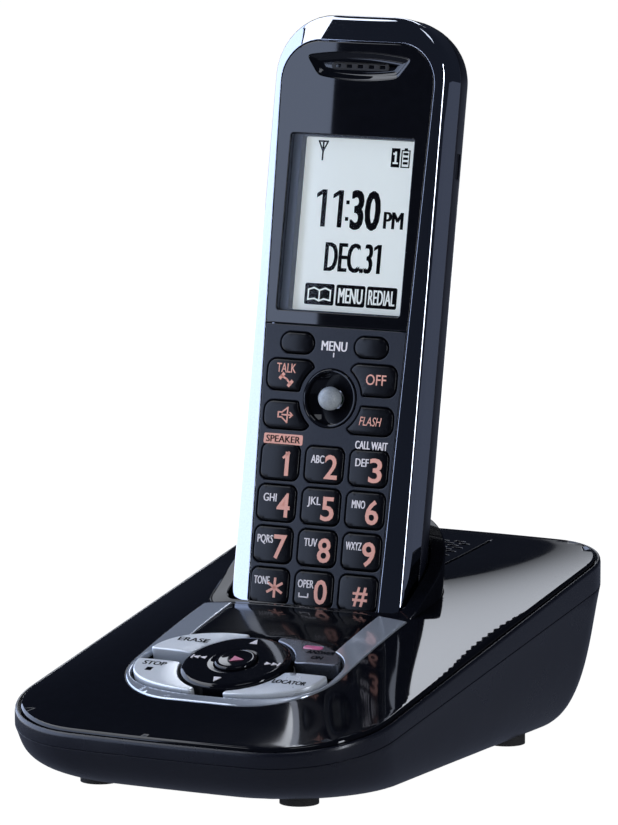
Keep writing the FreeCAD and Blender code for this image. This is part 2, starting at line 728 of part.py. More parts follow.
def collar_wire(side, front, v):
    """The handset's section moved out: side at the sides and back, front at the face."""
    half = HALF_WIDTH + side
    corner = 3.0
    back_r = BACK_R + side
    centre_u = HALF_WIDTH - BACK_R
    arcs = []
    for cx, cw, radius, start in ((half - corner, front - corner, corner, 0),
                                  (-half + corner, front - corner, corner, 90),
                                  (-centre_u, PARTING_W, back_r, 180),
                                  (centre_u, PARTING_W, back_r, 270)):
        circle = Part.Circle(vec(cx, cw, 0), vec(0, 0, 1), radius)
        first = math.radians(start)
        arcs.append(Part.Arc(circle, first, first + math.pi / 2).toShape())
    wire = closed(arcs)
    turn = FreeCAD.Placement(vec(0, v, 0), FreeCAD.Rotation(vec(1, 0, 0), 90))
    return wire.transformed(turn.toMatrix(), True)


def collar_column(side, front, v_range):
    face = Part.Face(collar_wire(side, front, v_range[0]))
    return face.extrude(vec(0, v_range[1] - v_range[0], 0))


def cradle_collar():
    floor_v = FOOT_V - REST_GAP
    below = collar_column(COLLAR_FLARE, COLLAR_FRONT, (floor_v - POCKET_FLOOR, COLLAR_FLARE_V))
    flare = Part.makeLoft([collar_wire(COLLAR_FLARE, COLLAR_FRONT, COLLAR_FLARE_V),
                           collar_wire(COLLAR_WALL + POCKET_GAP, COLLAR_FRONT, COLLAR_TOP_V + 8)], True, True)
    pocket = collar_column(POCKET_GAP, POCKET_GAP, (floor_v, COLLAR_TOP_V + 40))
    collar = fuse([below, flare]).cut(pocket)
    for side in (-1, 1):
        half_u = CONTACT_SIZE[0] / 2 + REST_GAP
        slot_u = (side * CONTACT_U - half_u, side * CONTACT_U + half_u)
        slot_w = (CONTACT_W - CONTACT_SIZE[1] / 2 - REST_GAP, CONTACT_W + CONTACT_SIZE[1] / 2 + REST_GAP)
        collar = collar.cut(box(slot_u, (floor_v - 9, floor_v + 9), slot_w))
    collar = placed(collar, HANDSET)
    return collar.common(below_plane(*RIM_LINE))


def charge_contact(side):
    """A bent leaf: its crown stands in the pocket, its tail lies under the floor."""
    floor_v = FOOT_V - REST_GAP
    u_range = (side * CONTACT_U - CONTACT_SIZE[0] / 2, side * CONTACT_U + CONTACT_SIZE[0] / 2)
    crown = box(u_range, (floor_v - POCKET_FLOOR - 1.6, floor_v + 0.1),
                (CONTACT_W - CONTACT_SIZE[1] / 2, CONTACT_W + CONTACT_SIZE[1] / 2))
    hollow = box((u_range[0] - 1, u_range[1] + 1), (floor_v - 9, floor_v - 0.5),
                 (CONTACT_W - CONTACT_SIZE[1] / 2 + 0.5, CONTACT_W + CONTACT_SIZE[1] / 2 - 0.5))
    tail = box(u_range, (floor_v - POCKET_FLOOR - 1.6, floor_v - POCKET_FLOOR - 1.1),
               (CONTACT_W - CONTACT_SIZE[1] / 2 - 5, CONTACT_W - CONTACT_SIZE[1] / 2 + 0.5))
    return fuse([crown.cut(hollow), tail])


def grille_slots():
    slots = []
    rows = int((GRILLE_Y[1] - GRILLE_Y[0]) / SLOT_PITCH[1])
    for row in range(rows + 1):
        y = GRILLE_Y[0] + row * SLOT_PITCH[1]
        shift = SLOT_PITCH[0] / 2 if row % 2 else 0.0
        for column in range(-3, 4):
            x = column * SLOT_PITCH[0] + shift
            if abs(x) + SLOT_SIZE[0] / 2 < GRILLE_HALF + 0.8:
                slots.append(box((x - SLOT_SIZE[0] / 2, x + SLOT_SIZE[0] / 2),
                                 (y - SLOT_SIZE[1] / 2, y + SLOT_SIZE[1] / 2), TALL))
    return Part.makeCompound(slots)


def deck_cover():
    deck = prism(deck_plan(), TALL).common(DECK_TOP).cut(DECK_UNDER)
    deck = deck.cut(trim_outline(-SEAT_GAP).cut(TRIM_UNDER))
    deck = deck.cut(trim_outline(SEAT_GAP))
    hole = collar_column(COLLAR_FLARE + SEAT_GAP, COLLAR_FRONT + SEAT_GAP, (FOOT_V - 9, COLLAR_FLARE_V + 20))
    deck = deck.cut(placed(hole, HANDSET))
    deck = deck.cut(grille_slots())
    groove_under = below_deck(-0.7)
    for side in (-1, 1):
        x = side * GROOVE_X
        groove = box((x - 0.35, x + 0.35), (GRILLE_Y[0] - 2, GRILLE_Y[1] + 2), TALL)
        deck = deck.cut(groove.cut(groove_under))
    return deck


def panel_trim():
    ring = trim_outline().cut(oval_column(TRIM_WELL)).cut(leg_gap(0.0))
    return ring.common(below_deck(TRIM_PROUD)).cut(TRIM_UNDER)


def stem_places():
    """Where each ring button's stem goes down, in the controls' frame."""
    return {"erase_button": (-17.8, 7.2), "stop_button": (-17.8, -6.4),
            "answer_button": (17.8, 7.2), "locator_button": (17.8, -6.4)}


def control_panel():
    flange = oval_column(TRIM_WELL + 4.0).common(below_deck(-DECK_WALL - SEAT_GAP))
    wall = oval_column(TRIM_WELL + 1.0).common(below_deck(-TRIM_THICK - SEAT_GAP / 2))
    wall = wall.common(trim_outline(3 * SEAT_GAP))
    bottom = WELL_FLOOR - WELL_PLATE
    tray = fuse([flange, wall]).common(above_cluster(bottom))
    rear = leg_gap(-SEAT_GAP).common(box((-60, 60), (CLUSTER_Y, TRIM_BACK_Y - 2 * SEAT_GAP), TALL))
    rear = rear.common(DECK_TOP).cut(below_deck(-DECK_WALL - SEAT_GAP))
    pocket = placed(oval_prism(CLUSTER_OVAL[0] + 0.5, CLUSTER_OVAL[1] + 0.5, (WELL_FLOOR, 30)), CLUSTER)
    panel = fuse([tray, rear.cut(oval_column(0.5))]).cut(pocket)
    holes = [disc(STEM_R + REST_GAP, x, y, (-20, 0)) for x, y in stem_places().values()]
    holes.append(disc(2.4 + REST_GAP, 0, 0, (-20, 0)))
    return panel.cut(placed(Part.makeCompound(holes), CLUSTER))


def ring_button(name):
    """A quarter of the ring round the rocker, with its stem."""
    x, y = stem_places()[name]
    ring = oval_prism(*CLUSTER_OVAL, (BUTTON_BOTTOM, BUTTON_TOP)).cut(disc(BUTTON_INNER_R, 0, 0, (-9, 9)))
    x_range = (BUTTON_END_GAP, 40) if x > 0 else (-40, -BUTTON_END_GAP)
    y_range = (BUTTON_SIDE_GAP[1], 40) if y > 0 else (-40, BUTTON_SIDE_GAP[0])
    button = ring.common(box(x_range, y_range, (-9, 9)))
    button = button.fuse(disc(STEM_R, x, y, (STEM_END, BUTTON_BOTTOM + 0.5))).removeSplitter()
    if name == "answer_button":
        button = button.cut(led_pill(SEAT_GAP / 2, (BUTTON_TOP - 1.0, BUTTON_TOP + 1)))
    return button


def led_pill(grow, w_range):
    x, y = LED_AT
    half_x, half_y = LED_SIZE[0] / 2 + grow, LED_SIZE[1] / 2 + grow
    return rounded_prism((x - half_x, x + half_x), (y - half_y, y + half_y), LED_SIZE[1] / 2 - 0.1, w_range)


def nav_rocker():
    disc_r = disc(ROCKER_R, 0, 0, (-2.6, ROCKER_TOP))
    dish = Part.makeCone(ROCKER_HOLE_R + 0.3, ROCKER_HOLE_R + 1.2, 0.6, vec(0, 0, ROCKER_TOP - 0.5))
    return disc_r.cut(disc(ROCKER_HOLE_R, 0, 0, (-9, 9))).cut(disc(9.0, 0, 0, (-9, -1.4))).cut(dish)


def nav_pivot():
    ring = disc(PIVOT_R, 0, 0, (WELL_FLOOR + PIVOT_GAP, -1.9))
    return ring.cut(disc(PIVOT_HOLE_R, 0, 0, (-9, 9)))


def play_button():
    cap = disc(PLAY_R, 0, 0, (-1.8, PLAY_TOP))
    stem = disc(2.4, 0, 0, (STEM_END, -1.5))
    return cap.fuse(stem).removeSplitter()


def upper_case():
    band = prism(rim_plan(), TALL).cut(prism(rim_plan(RIM_WALL), (-9, 99)))
    band = band.common(below_plane(DECK_EDGE_Z - RIM_DROP, DECK_SLOPE))
    rebate_inset = RIM_PROUD - 0.6
    seat = below_plane(DECK_EDGE_Z - DECK_WALL - SEAT_GAP / 2, DECK_SLOPE)
    band = band.cut(prism(rim_plan(rebate_inset), TALL).cut(seat))
    ledge = prism(rim_plan(RIM_WALL / 2), TALL).cut(prism(rim_plan(RIM_WALL + RIM_LEDGE), (-9, 99)))
    ledge = ledge.common(seat).cut(below_plane(DECK_EDGE_Z - DECK_WALL - 1.8, DECK_SLOPE))
    case = fuse([band, ledge])
    return case.cut(below_plane(PARTING_Z, PARTING_SLOPE))


def tub_wire(share, inset, front_in, back_in, corner):
    """The tub's outline on the plane that lies share of the way from the parting line to its floor."""
    half_length = DECK_LENGTH / 2 + RIM_PROUD
    half = DECK_WIDTH / 2 + RIM_PROUD - inset
    front, back = -half_length + front_in, half_length - back_in
    front_r = DECK_FRONT_R + RIM_PROUD + corner
    back_r = DECK_BACK_R + RIM_PROUD + corner
    middle = (front + back) / 2
    wire = bowed_wire(half, (back - front) / 2, front_r, back_r)
    wire.translate(vec(0, middle, 0))
    shear = FreeCAD.Matrix()
    shear.A32 = (1 - share) * PARTING_SLOPE
    shear.A34 = (1 - share) * PARTING_Z + share * TUB_BOTTOM_Z
    return wire.transformGeometry(shear)


def tub_solid(wall):
    wires = []
    for share, inset, front_in, back_in, corner in TUB_SECTIONS:
        wires.append(tub_wire(share, inset + wall, front_in + wall, back_in + wall, corner - wall / 2))
    return Part.makeLoft(wires, True, False)


def boss_places():
    return ((-34.0, -48.0), (34.0, -48.0), (-36.0, 50.0), (36.0, 50.0))


def foot_places():
    return [(side * x, y) for x, y in (FOOT_FRONT, FOOT_BACK) for side in (-1, 1)]


def jack_block(x, size, grow=0.0):
    half_x, half_z = size[0] / 2 + grow, size[2] / 2 + grow
    y_range = (JACK_BACK_Y - size[1] - grow, JACK_BACK_Y + grow)
    return box((x - half_x, x + half_x), y_range, (JACK_Z - half_z, JACK_Z + half_z))


def lower_case():
    hollow = tub_solid(TUB_WALL).cut(box((-99, 99), (-99, 99), (-9, TUB_BOTTOM_Z + TUB_FLOOR)))
    tub = tub_solid(0.0)
    lid = below_plane(PARTING_Z, PARTING_SLOPE)
    bosses = [disc(BOSS_R, x, y, (TUB_BOTTOM_Z + 0.5, 60)).common(below_plane(PARTING_Z - 0.6, PARTING_SLOPE))
              for x, y in boss_places()]
    posts = [disc(2.2, x, y, (TUB_BOTTOM_Z + 0.5, BOARD_Z)) for x, y in post_places()]
    shelf = [box((x - size[0] / 2 - 1.2, x + size[0] / 2 + 1.2), (JACK_BACK_Y - size[1], JACK_BACK_Y),
                 (TUB_BOTTOM_Z + 0.5, JACK_Z - size[2] / 2)) for x, size in
             ((LINE_JACK_X, LINE_JACK_SIZE), (POWER_JACK_X, POWER_JACK_SIZE))]
    rail = [block.common(tub_solid(TUB_WALL / 2)) for block in bosses + shelf]
    case = fuse([tub.cut(hollow)] + rail + posts)
    for x, y in boss_places():
        case = case.cut(disc(SCREW_R + SEAT_GAP, x, y, (-9, 60)))
        case = case.cut(disc(SCREW_HEAD_R + SEAT_GAP, x, y, (-9, TUB_BOTTOM_Z + 6)))
    for x, y in foot_places():
        case = case.cut(disc(FOOT_R + SEAT_GAP, x, y, (-9, TUB_BOTTOM_Z + FOOT_SINK)))
    for x, size in ((LINE_JACK_X, LINE_JACK_SIZE), (POWER_JACK_X, POWER_JACK_SIZE)):
        case = case.cut(jack_block(x, size, SEAT_GAP))
        mouth = box((x - size[0] / 2 - SEAT_GAP, x + size[0] / 2 + SEAT_GAP), (JACK_BACK_Y - 1, 90),
                    (JACK_Z - size[2] / 2 - SEAT_GAP, JACK_Z + size[2] / 2 + SEAT_GAP))
        case = case.cut(mouth)
    return case.common(lid)


def post_places():
    return ((-24.0, -30.0), (24.0, -30.0), (-24.0, 38.0), (24.0, 38.0))


def rubber_feet():
    feet = [disc(FOOT_R, x, y, (0.0, TUB_BOTTOM_Z + FOOT_SINK)) for x, y in foot_places()]
    return Part.makeCompound(feet)


def base_screws():
    screws = []
    for x, y in boss_places():
        seat = TUB_BOTTOM_Z + 6
        top = parting_z(y) - 1.5
        head = disc(SCREW_HEAD_R, x, y, (seat - 1.8, seat))
        slot = box((x - 1.6, x + 1.6), (y - 0.3, y + 0.3), (seat - 3, seat - 1.1))
        screws.append(head.fuse(disc(SCREW_R, x, y, (seat, top))).cut(slot))
    return Part.makeCompound(screws)


def base_boards():
    """The main board on its posts, and the button board under the controls."""
    main = rounded_prism((-30, 30), (-38, 46), 2.0, (BOARD_Z, BOARD_Z + 1.6))
    top = BOARD_Z + 1.6
    parts = [box((-20, -8), (-20, -8), (top, top + 2)), box((5, 21), (-32, -18), (top, top + 3)),
             box((12, 22), (20, 34), (top, top + 2.5)), disc(4.0, -22, 10, (top, top + 6)),
             disc(3.0, 25, 8, (top, top + 5))]
    low = STEM_END - KEY_TRAVEL - 0.2
    board = rounded_prism((-24, 24), (-13, 13), 2.0, (low - 1.6, low - 0.1))
    switches = [disc(1.8, x, y, (low - 0.2, low)) for x, y in stem_places().values()]
    hangers = [disc(2.0, x, y, (low - 0.2, WELL_FLOOR - WELL_PLATE)) for x in (-22, 22) for y in (-0.2, 1.8)]
    buttons = fuse([board, disc(2.6, 0, 0, (low - 0.2, low))] + switches + hangers)
    return Part.makeCompound([fuse([main] + parts), placed(buttons, CLUSTER)])


def base_speaker():
    y = (GRILLE_Y[0] + GRILLE_Y[1]) / 2
    turn = FreeCAD.Rotation(vec(1, 0, 0), math.degrees(math.atan(DECK_SLOPE)) - 3)
    top = min(deck_z(x, y) for x in (-SPEAKER_R, SPEAKER_R)) - DECK_WALL - 1.4
    frame = disc(SPEAKER_R, 0, 0, (-2.0, 0)).fuse(disc(9.0, 0, 0, (-SPEAKER_DEPTH, -2.0)))
    cone = Part.makeCone(3.0, SPEAKER_R - 1.5, 1.6, vec(0, 0, -1.6))
    speaker = frame.cut(cone).fuse(disc(3.0, 0, 0, (-2.2, -0.6)))
    return placed(speaker.removeSplitter(), FreeCAD.Placement(vec(0, y, top), turn))


def line_jack():
    socket = box((LINE_JACK_X - LINE_SOCKET[0] / 2, LINE_JACK_X + LINE_SOCKET[0] / 2),
                 (JACK_BACK_Y - LINE_SOCKET[1], JACK_BACK_Y + 1),
                 (JACK_Z - LINE_SOCKET[2] / 2, JACK_Z + LINE_SOCKET[2] / 2))
    keyway = box((LINE_JACK_X - 1.6, LINE_JACK_X + 1.6), (JACK_BACK_Y - LINE_SOCKET[1], JACK_BACK_Y + 1),
                 (JACK_Z - LINE_SOCKET[2] / 2 - 1.2, JACK_Z))
    return jack_block(LINE_JACK_X, LINE_JACK_SIZE).cut(socket).cut(keyway)


def power_jack():
    along = vec(0, 1, 0)
    hole = Part.makeCylinder(POWER_HOLE_R, 9.5, vec(POWER_JACK_X, JACK_BACK_Y - 9, JACK_Z), along)
    pin = Part.makeCylinder(POWER_PIN_R, 8.5, vec(POWER_JACK_X, JACK_BACK_Y - 9.5, JACK_Z), along)
    return jack_block(POWER_JACK_X, POWER_JACK_SIZE).cut(hole).fuse(pin)


def build():
    for make in (handset_front_case, handset_rear_case, face_panel, keypad_plate, lcd_lens, lcd_module,
                 earpiece_grille, earpiece_speaker, key_mat, handset_board, battery_cells,
                 battery_contacts, handset_loudspeaker, charge_pads, handset_screws, joystick_housing,
                 stick_gimbal, stick_stem, stick_knob, battery_cover):
        NODES[make.__name__] = placed(make(), HANDSET)
    handset_keys()
    for make in (deck_cover, panel_trim, control_panel, cradle_collar, upper_case, lower_case,
                 rubber_feet, base_screws, base_boards, base_speaker, line_jack, power_jack):
        NODES[make.__name__] = make()
    for name in stem_places():
        NODES[name] = placed(ring_button(name), CLUSTER)
    NODES["answer_led"] = placed(led_pill(0.0, (BUTTON_TOP - 1.0, BUTTON_TOP + 0.1)), CLUSTER)
    for make in (nav_rocker, nav_pivot, play_button):
        NODES[make.__name__] = placed(make(), CLUSTER)
    NODES["charge_contact_left"] = placed(charge_contact(-1), HANDSET)
    NODES["charge_contact_right"] = placed(charge_contact(1), HANDSET)


build()
os.makedirs("parts", exist_ok=True)
for name, shape in NODES.items():
    shape.exportStep("parts/" + name + ".step")
    print(name, len(shape.Solids), round(shape.Volume, 1), "ok" if shape.isValid() else "INVALID")
print(len(NODES), "nodes")
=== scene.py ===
"""The cordless phone and its answering base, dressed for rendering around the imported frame.

Lengths below are in millimetres unless a name says otherwise; `place` turns them into metres.
Handset pieces are drawn flat, with u across, v up the handset and w out of its face.
"""

import math

import bmesh
import bpy
import numpy as np
from mathutils import Matrix, Vector
from mathutils.geometry import delaunay_2d_cdt


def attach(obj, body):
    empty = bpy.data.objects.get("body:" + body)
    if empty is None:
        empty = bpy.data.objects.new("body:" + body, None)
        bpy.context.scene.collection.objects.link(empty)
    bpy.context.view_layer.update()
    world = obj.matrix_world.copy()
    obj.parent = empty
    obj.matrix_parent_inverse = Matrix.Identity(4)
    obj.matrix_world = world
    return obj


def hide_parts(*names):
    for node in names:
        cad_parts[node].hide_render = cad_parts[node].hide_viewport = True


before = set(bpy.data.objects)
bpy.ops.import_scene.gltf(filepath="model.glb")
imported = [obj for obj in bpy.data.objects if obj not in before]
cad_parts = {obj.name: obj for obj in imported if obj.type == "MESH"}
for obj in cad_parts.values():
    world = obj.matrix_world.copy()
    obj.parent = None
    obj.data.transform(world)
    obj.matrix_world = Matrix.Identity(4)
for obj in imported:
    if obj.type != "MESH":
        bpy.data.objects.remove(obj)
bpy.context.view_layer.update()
MM = 0.001

# ---------------------------------------------------------------- sizes shared with the CAD source
DECK_LENGTH, DECK_WIDTH = 146.5, 94.2
DECK_FRONT_R, DECK_BACK_R, DECK_END_R = 24.0, 16.0, 700.0
DECK_WALL, DECK_EDGE_Z, DECK_SLOPE = 2.2, 29.75, 0.19
CROWN, CROWN_POWER = 5.7, 1.4
RIM_PROUD, RIM_WALL, RIM_LEDGE, RIM_DROP = 1.4, 2.4, 3.6, 0.6
PARTING_Z, PARTING_SLOPE = 23.93, 0.1689
CLUSTER_Y = -35.8
CLUSTER_OVAL, OVAL_POWER = (25.2, 15.1), 2.67
ROCKER_R, ROCKER_HOLE_R = 13.2, 5.4
PLAY_R, PLAY_TOP, STEM_R, STEM_END = 5.0, 2.1, 2.4, -5.4
BUTTON_INNER_R, BUTTON_TOP, BUTTON_BOTTOM = 13.9, 0.9, -2.8
BUTTON_END_GAP, BUTTON_SIDE_GAP = 4.0, (-1.7, 3.3)
TRIM_HALF, TRIM_FRONT_Y, TRIM_BACK_Y, TRIM_R = 27.4, -54.0, -2.0, 19.0
TRIM_THICK, TRIM_PROUD, TRIM_LEG_INNER, TRIM_WELL = 1.2, 0.25, 19.8, 0.8
GRILLE_Y, GRILLE_HALF = (40.0, 64.0), 13.0
SLOT_SIZE, SLOT_PITCH, GROOVE_X = (2.8, 1.0), (4.4, 1.9), 15.6

LEAN = math.radians(10.39)
KEY_ORIGIN = Vector((0.0, 2.5, 38.8))
HALF_WIDTH, FACE_HALF = 23.4, 22.9
TOP_V, FOOT_V, TOP_R, FOOT_CORNER_R = 138.3, -16.7, 15.0, 9.0
SIDE_W, PARTING_W, FRONT_W, BACK_R, CASE_WALL = -3.2, -9.0, -1.2, 15.0, 1.6
FACE_TOP_V, FACE_TOP_HALF, FACE_FOOT_HALF, FACE_FOOT_V, FACE_R = 131.9, 20.9, 17.3, -15.5, 10.0
FACE_FOOT_R = 4.0
PLATE_THICK, LEDGE_REACH, PANEL_SPLIT_V = 1.8, 1.4, 63.2
WINDOW_HALF, WINDOW_V, GLASS_TOP_W = 16.7, (66.5, 109.3), -4.0
EAR_V, EAR_HALF = (122.7, 129.4), 14.0
LED_AT, LED_SIZE = (14.7, 11.3), (5.2, 1.8)
KEY_SIZE, KEY_PITCH, KEY_R, KEY_RISE = (10.2, 8.6), (12.0, 10.0), 1.8, 0.5
KEY_GAP, SEAT_GAP, REST_GAP = 0.25, 0.1, 0.3
SOFT_KEY_AT, SOFT_KEY_SIZE = (10.0, 58.8), (8.8, 4.9)
CALL_KEY_U, CALL_UPPER_V, CALL_LOWER_V, CALL_RING_R = (5.0, 17.4), (47.3, 54.7), (38.0, 44.6), 8.7
STICK_V, DISH_R, BALL_R, BOWL_R, BOWL_DEPTH = 46.0, 7.0, 2.85, 10.0, 3.1
COLLAR_WALL, COLLAR_FLARE, COLLAR_FRONT, POCKET_GAP = 2.0, 4.4, 2.5, 0.6
COLLAR_TOP_V, COLLAR_FLARE_V, RIM_LINE = 28.0, 9.0, (34.5, 0.6)


def deck_z(x, y):
    along = np.maximum(np.cos(math.pi * y / DECK_LENGTH), 0.0) ** CROWN_POWER
    across = 1 - np.abs(2 * x / DECK_WIDTH) ** 3
    return DECK_EDGE_Z + DECK_SLOPE * y + CROWN * along * across


def frame_matrix(origin, across, up, out):
    """A frame from its origin and its three directions, in millimetres."""
    rows = [[across[i], up[i], out[i], origin[i]] for i in range(3)]
    return Matrix(rows + [[0, 0, 0, 1]])


HANDSET = frame_matrix(KEY_ORIGIN, (1, 0, 0), (0, math.sin(LEAN), math.cos(LEAN)),
                       (0, -math.cos(LEAN), math.sin(LEAN)))
STEP = 0.5
TILT = math.atan((deck_z(0.0, CLUSTER_Y + STEP) - deck_z(0.0, CLUSTER_Y - STEP)) / (2 * STEP))
CLUSTER = frame_matrix((0, CLUSTER_Y, deck_z(0.0, CLUSTER_Y)), (1, 0, 0),
                       (0, math.cos(TILT), math.sin(TILT)), (0, -math.sin(TILT), math.cos(TILT)))
WORLD = Matrix.Identity(4)


# ---------------------------------------------------------------- outlines: arrays of x, y, counterclockwise
def arc(cx, cy, radius, start, end, steps=10):
    angles = np.linspace(start, end, steps + 1)
    return np.column_stack([cx + radius * np.cos(angles), cy + radius * np.sin(angles)])


def rounded(x_range, y_range, radius, steps=8):
    (x0, x1), (y0, y1) = x_range, y_range
    quarter = math.pi / 2
    corners = ((x1 - radius, y0 + radius, -1), (x1 - radius, y1 - radius, 0),
               (x0 + radius, y1 - radius, 1), (x0 + radius, y0 + radius, 2))
    return np.vstack([arc(cx, cy, radius, k * quarter, (k + 1) * quarter, steps) for cx, cy, k in corners])


def circle(cx, cy, radius, steps=64):
    return arc(cx, cy, radius, 0, 2 * math.pi, steps)[:-1]


def dense(points, spacing):
    """The same closed line with points at most spacing apart."""
    made = []
    for here, there in zip(points, np.roll(points, -1, axis=0)):
        length = float(np.linalg.norm(there - here))
        if length < 1e-6:
            continue
        count = max(1, math.ceil(length / spacing))
        made += [here + (there - here) * i / count for i in range(count)]
    return np.array(made)


def relaxed(points, passes):
    """Rounds the corners of a dense closed line."""
    for _ in range(passes):
        points = points / 2 + (np.roll(points, 1, axis=0) + np.roll(points, -1, axis=0)) / 4
    return points


def offset(points, inset):
    """The line moved inwards."""
    before = points - np.roll(points, 1, axis=0)
    after = np.roll(points, -1, axis=0) - points
    before /= np.linalg.norm(before, axis=1, keepdims=True)
    after /= np.linalg.norm(after, axis=1, keepdims=True)
    first = np.column_stack([-before[:, 1], before[:, 0]])
    middle = first + np.column_stack([-after[:, 1], after[:, 0]])
    middle /= np.linalg.norm(middle, axis=1, keepdims=True)
    reach = 1 / np.maximum((middle * first).sum(axis=1), 0.6)
    return points + middle * (inset * reach)[:, None]


def inside(points, line):
    """Which points lie within a closed line."""
    x, y = points[:, 0][:, None], points[:, 1][:, None]
    x0, y0 = line[:, 0], line[:, 1]
    x1, y1 = np.roll(x0, -1), np.roll(y0, -1)
    rise = np.where(y1 == y0, 1e-12, y1 - y0)
    crosses = ((y0 > y) != (y1 > y)) & (x < (x1 - x0) * (y - y0) / rise + x0)
    return crosses.sum(axis=1) % 2 == 1


def tall_outline(foot_half, top_half, foot_v, top_v, foot_r, top_r, steps=10, side_steps=10):
    """The handset's kind of outline: four round corners, and sides that may lean."""
    lean = math.atan2(top_half - foot_half, top_v - foot_v)
    made = []
    corners = ((1, foot_v, foot_r), (1, top_v, top_r), (-1, top_v, top_r), (-1, foot_v, foot_r))
    for sign_u, end_v, radius in corners:
        upward = 1 if end_v == top_v else -1
        centre_v = end_v - upward * radius
        side_u = foot_half + (centre_v - foot_v) * math.tan(lean)
        centre_u = side_u - radius / math.cos(lean)
        side, end = -lean, upward * math.pi / 2
        low, high = min(side, end), max(side, end)
        if sign_u < 0:
            low, high = math.pi - high, math.pi - low
        made.append(arc(sign_u * centre_u, centre_v, radius, low, high, steps))
    line = []
    for k, part in enumerate(made):
        following = made[(k + 1) % 4][0]
        count = side_steps if k % 2 == 0 else side_steps // 2
        shares = np.linspace(0, 1, count + 1)[1:-1, None]
        line += [part, part[-1] + (following - part[-1]) * shares]
    return np.vstack(line)


def bowed(inset=0.0, grow=0.0, length_in=(0.0, 0.0), corner=0.0, steps=14, side_steps=24):
    """The base's plan: straight sides, bowed ends, round corners."""
    half = DECK_WIDTH / 2 + grow - inset
    end_r = DECK_END_R - inset
    front = -DECK_LENGTH / 2 - grow + length_in[0]
    back = DECK_LENGTH / 2 + grow - length_in[1]
    middle, half_length = (front + back) / 2, (back - front) / 2
    parts = []
    for sign_x, sign_y in ((1, -1), (1, 1), (-1, 1), (-1, -1)):
        radius = max((DECK_FRONT_R if sign_y < 0 else DECK_BACK_R) + grow + corner - inset, 2.0)
        middle_y = sign_y * (half_length - DECK_END_R)
        cx = half - radius
        cy = middle_y + sign_y * math.sqrt((end_r - radius) ** 2 - cx ** 2)
        bow = math.atan2(sign_y * (cy - middle_y), cx)
        side = 0.0 if sign_x > 0 else math.pi
        towards = sign_y * bow if sign_x > 0 else math.pi - sign_y * bow
        start, end = (side, towards) if sign_x == sign_y else (towards, side)
        if end < start:
            end += 2 * math.pi
        parts.append(arc(sign_x * cx, cy, radius, start, end, steps))
    line = []
    for k, part in enumerate(parts):
        here, there = part[-1], parts[(k + 1) % 4][0]
        shares = np.linspace(0, 1, side_steps + 1)[1:-1, None]
        between = here + (there - here) * shares
        if k % 2:
            sign_y = 1 if here[1] > 0 else -1
            middle_y = sign_y * (half_length - DECK_END_R)
            between[:, 1] = middle_y + sign_y * np.sqrt(end_r ** 2 - between[:, 0] ** 2)
        line += [part, between]
    return np.vstack(line) + np.array([0.0, middle])


def oval(grow=0.0, steps=180):
    """The superellipse of the controls."""
    angles = np.linspace(0, 2 * math.pi, steps + 1)[:-1]
    c, s = np.cos(angles), np.sin(angles)
    x = (CLUSTER_OVAL[0] + grow) * np.copysign(np.abs(c) ** (2 / OVAL_POWER), c)
    y = (CLUSTER_OVAL[1] + grow) * np.copysign(np.abs(s) ** (2 / OVAL_POWER), s)
    return dense(np.column_stack([x, y]), 0.6)


def dropped(points, place, lift=0.0):
    """Plan of the points of a frame slid along the frame's third axis onto the deck."""
    along = np.array(place.col[2][:3])
    found = []
    for x, y in points:
        base = np.array(place @ Vector((x, y, 0)))
        low, high = -60.0, 60.0
        for _ in range(40):
            middle = (low + high) / 2
            p = base + along * middle
            if p[2] > deck_z(p[0], p[1]) + lift:
                high = middle
            else:
                low = middle
        found.append((base + along * (low + high) / 2)[:2])
    return np.array(found)


# ---------------------------------------------------------------- solids: (points, faces) in a local frame
def height(rule, line):
    if callable(rule):
        return rule(line[:, 0], line[:, 1])
    return np.full(len(line), float(rule))


def triangulated(outer, holes, spacing):
    """Points and triangles that fill the outer line but for the holes."""
    lines = [outer] + list(holes)
    points = np.vstack(lines)
    edges, first = [], 0
    for line in lines:
        count = len(line)
        edges += [(first + i, first + (i + 1) % count) for i in range(count)]
        first += count
    if spacing:
        low, high = outer.min(axis=0), outer.max(axis=0)
        xs, ys = np.arange(low[0], high[0], spacing), np.arange(low[1], high[1], spacing * 0.87)
        cells = np.array([(x + (spacing / 2 if j % 2 else 0), y) for j, y in enumerate(ys) for x in xs])
        keep = inside(cells, outer)
        for hole in holes:
            keep &= ~inside(cells, hole)
        cells = cells[keep]
        near = np.full(len(cells), 1e9)
        for start in range(0, len(points), 200):
            part = points[start:start + 200]
            distance = np.linalg.norm(cells[:, None, :] - part[None, :, :], axis=2).min(axis=1)
            near = np.minimum(near, distance)
        points = np.vstack([points, cells[near > spacing * 0.55]])
    out = delaunay_2d_cdt([Vector(p) for p in points], edges, [], 0, 1e-7)
    verts, faces, origins = out[0], out[2], out[3]
    made = np.array([tuple(v) for v in verts])
    index = [o[0] if o else -1 for o in origins]
    crossings = [k for k, i in enumerate(index) if i < 0]
    for k in crossings:
        index[k] = len(points)
        points = np.vstack([points, made[k:k + 1]])
    centres = np.array([made[list(f)].mean(axis=0) for f in faces])
    keep = inside(centres, outer)
    for hole in holes:
        keep &= ~inside(centres, hole)
    triangles = [tuple(index[i] for i in f) for f, k in zip(faces, keep) if k]
    return points, triangles


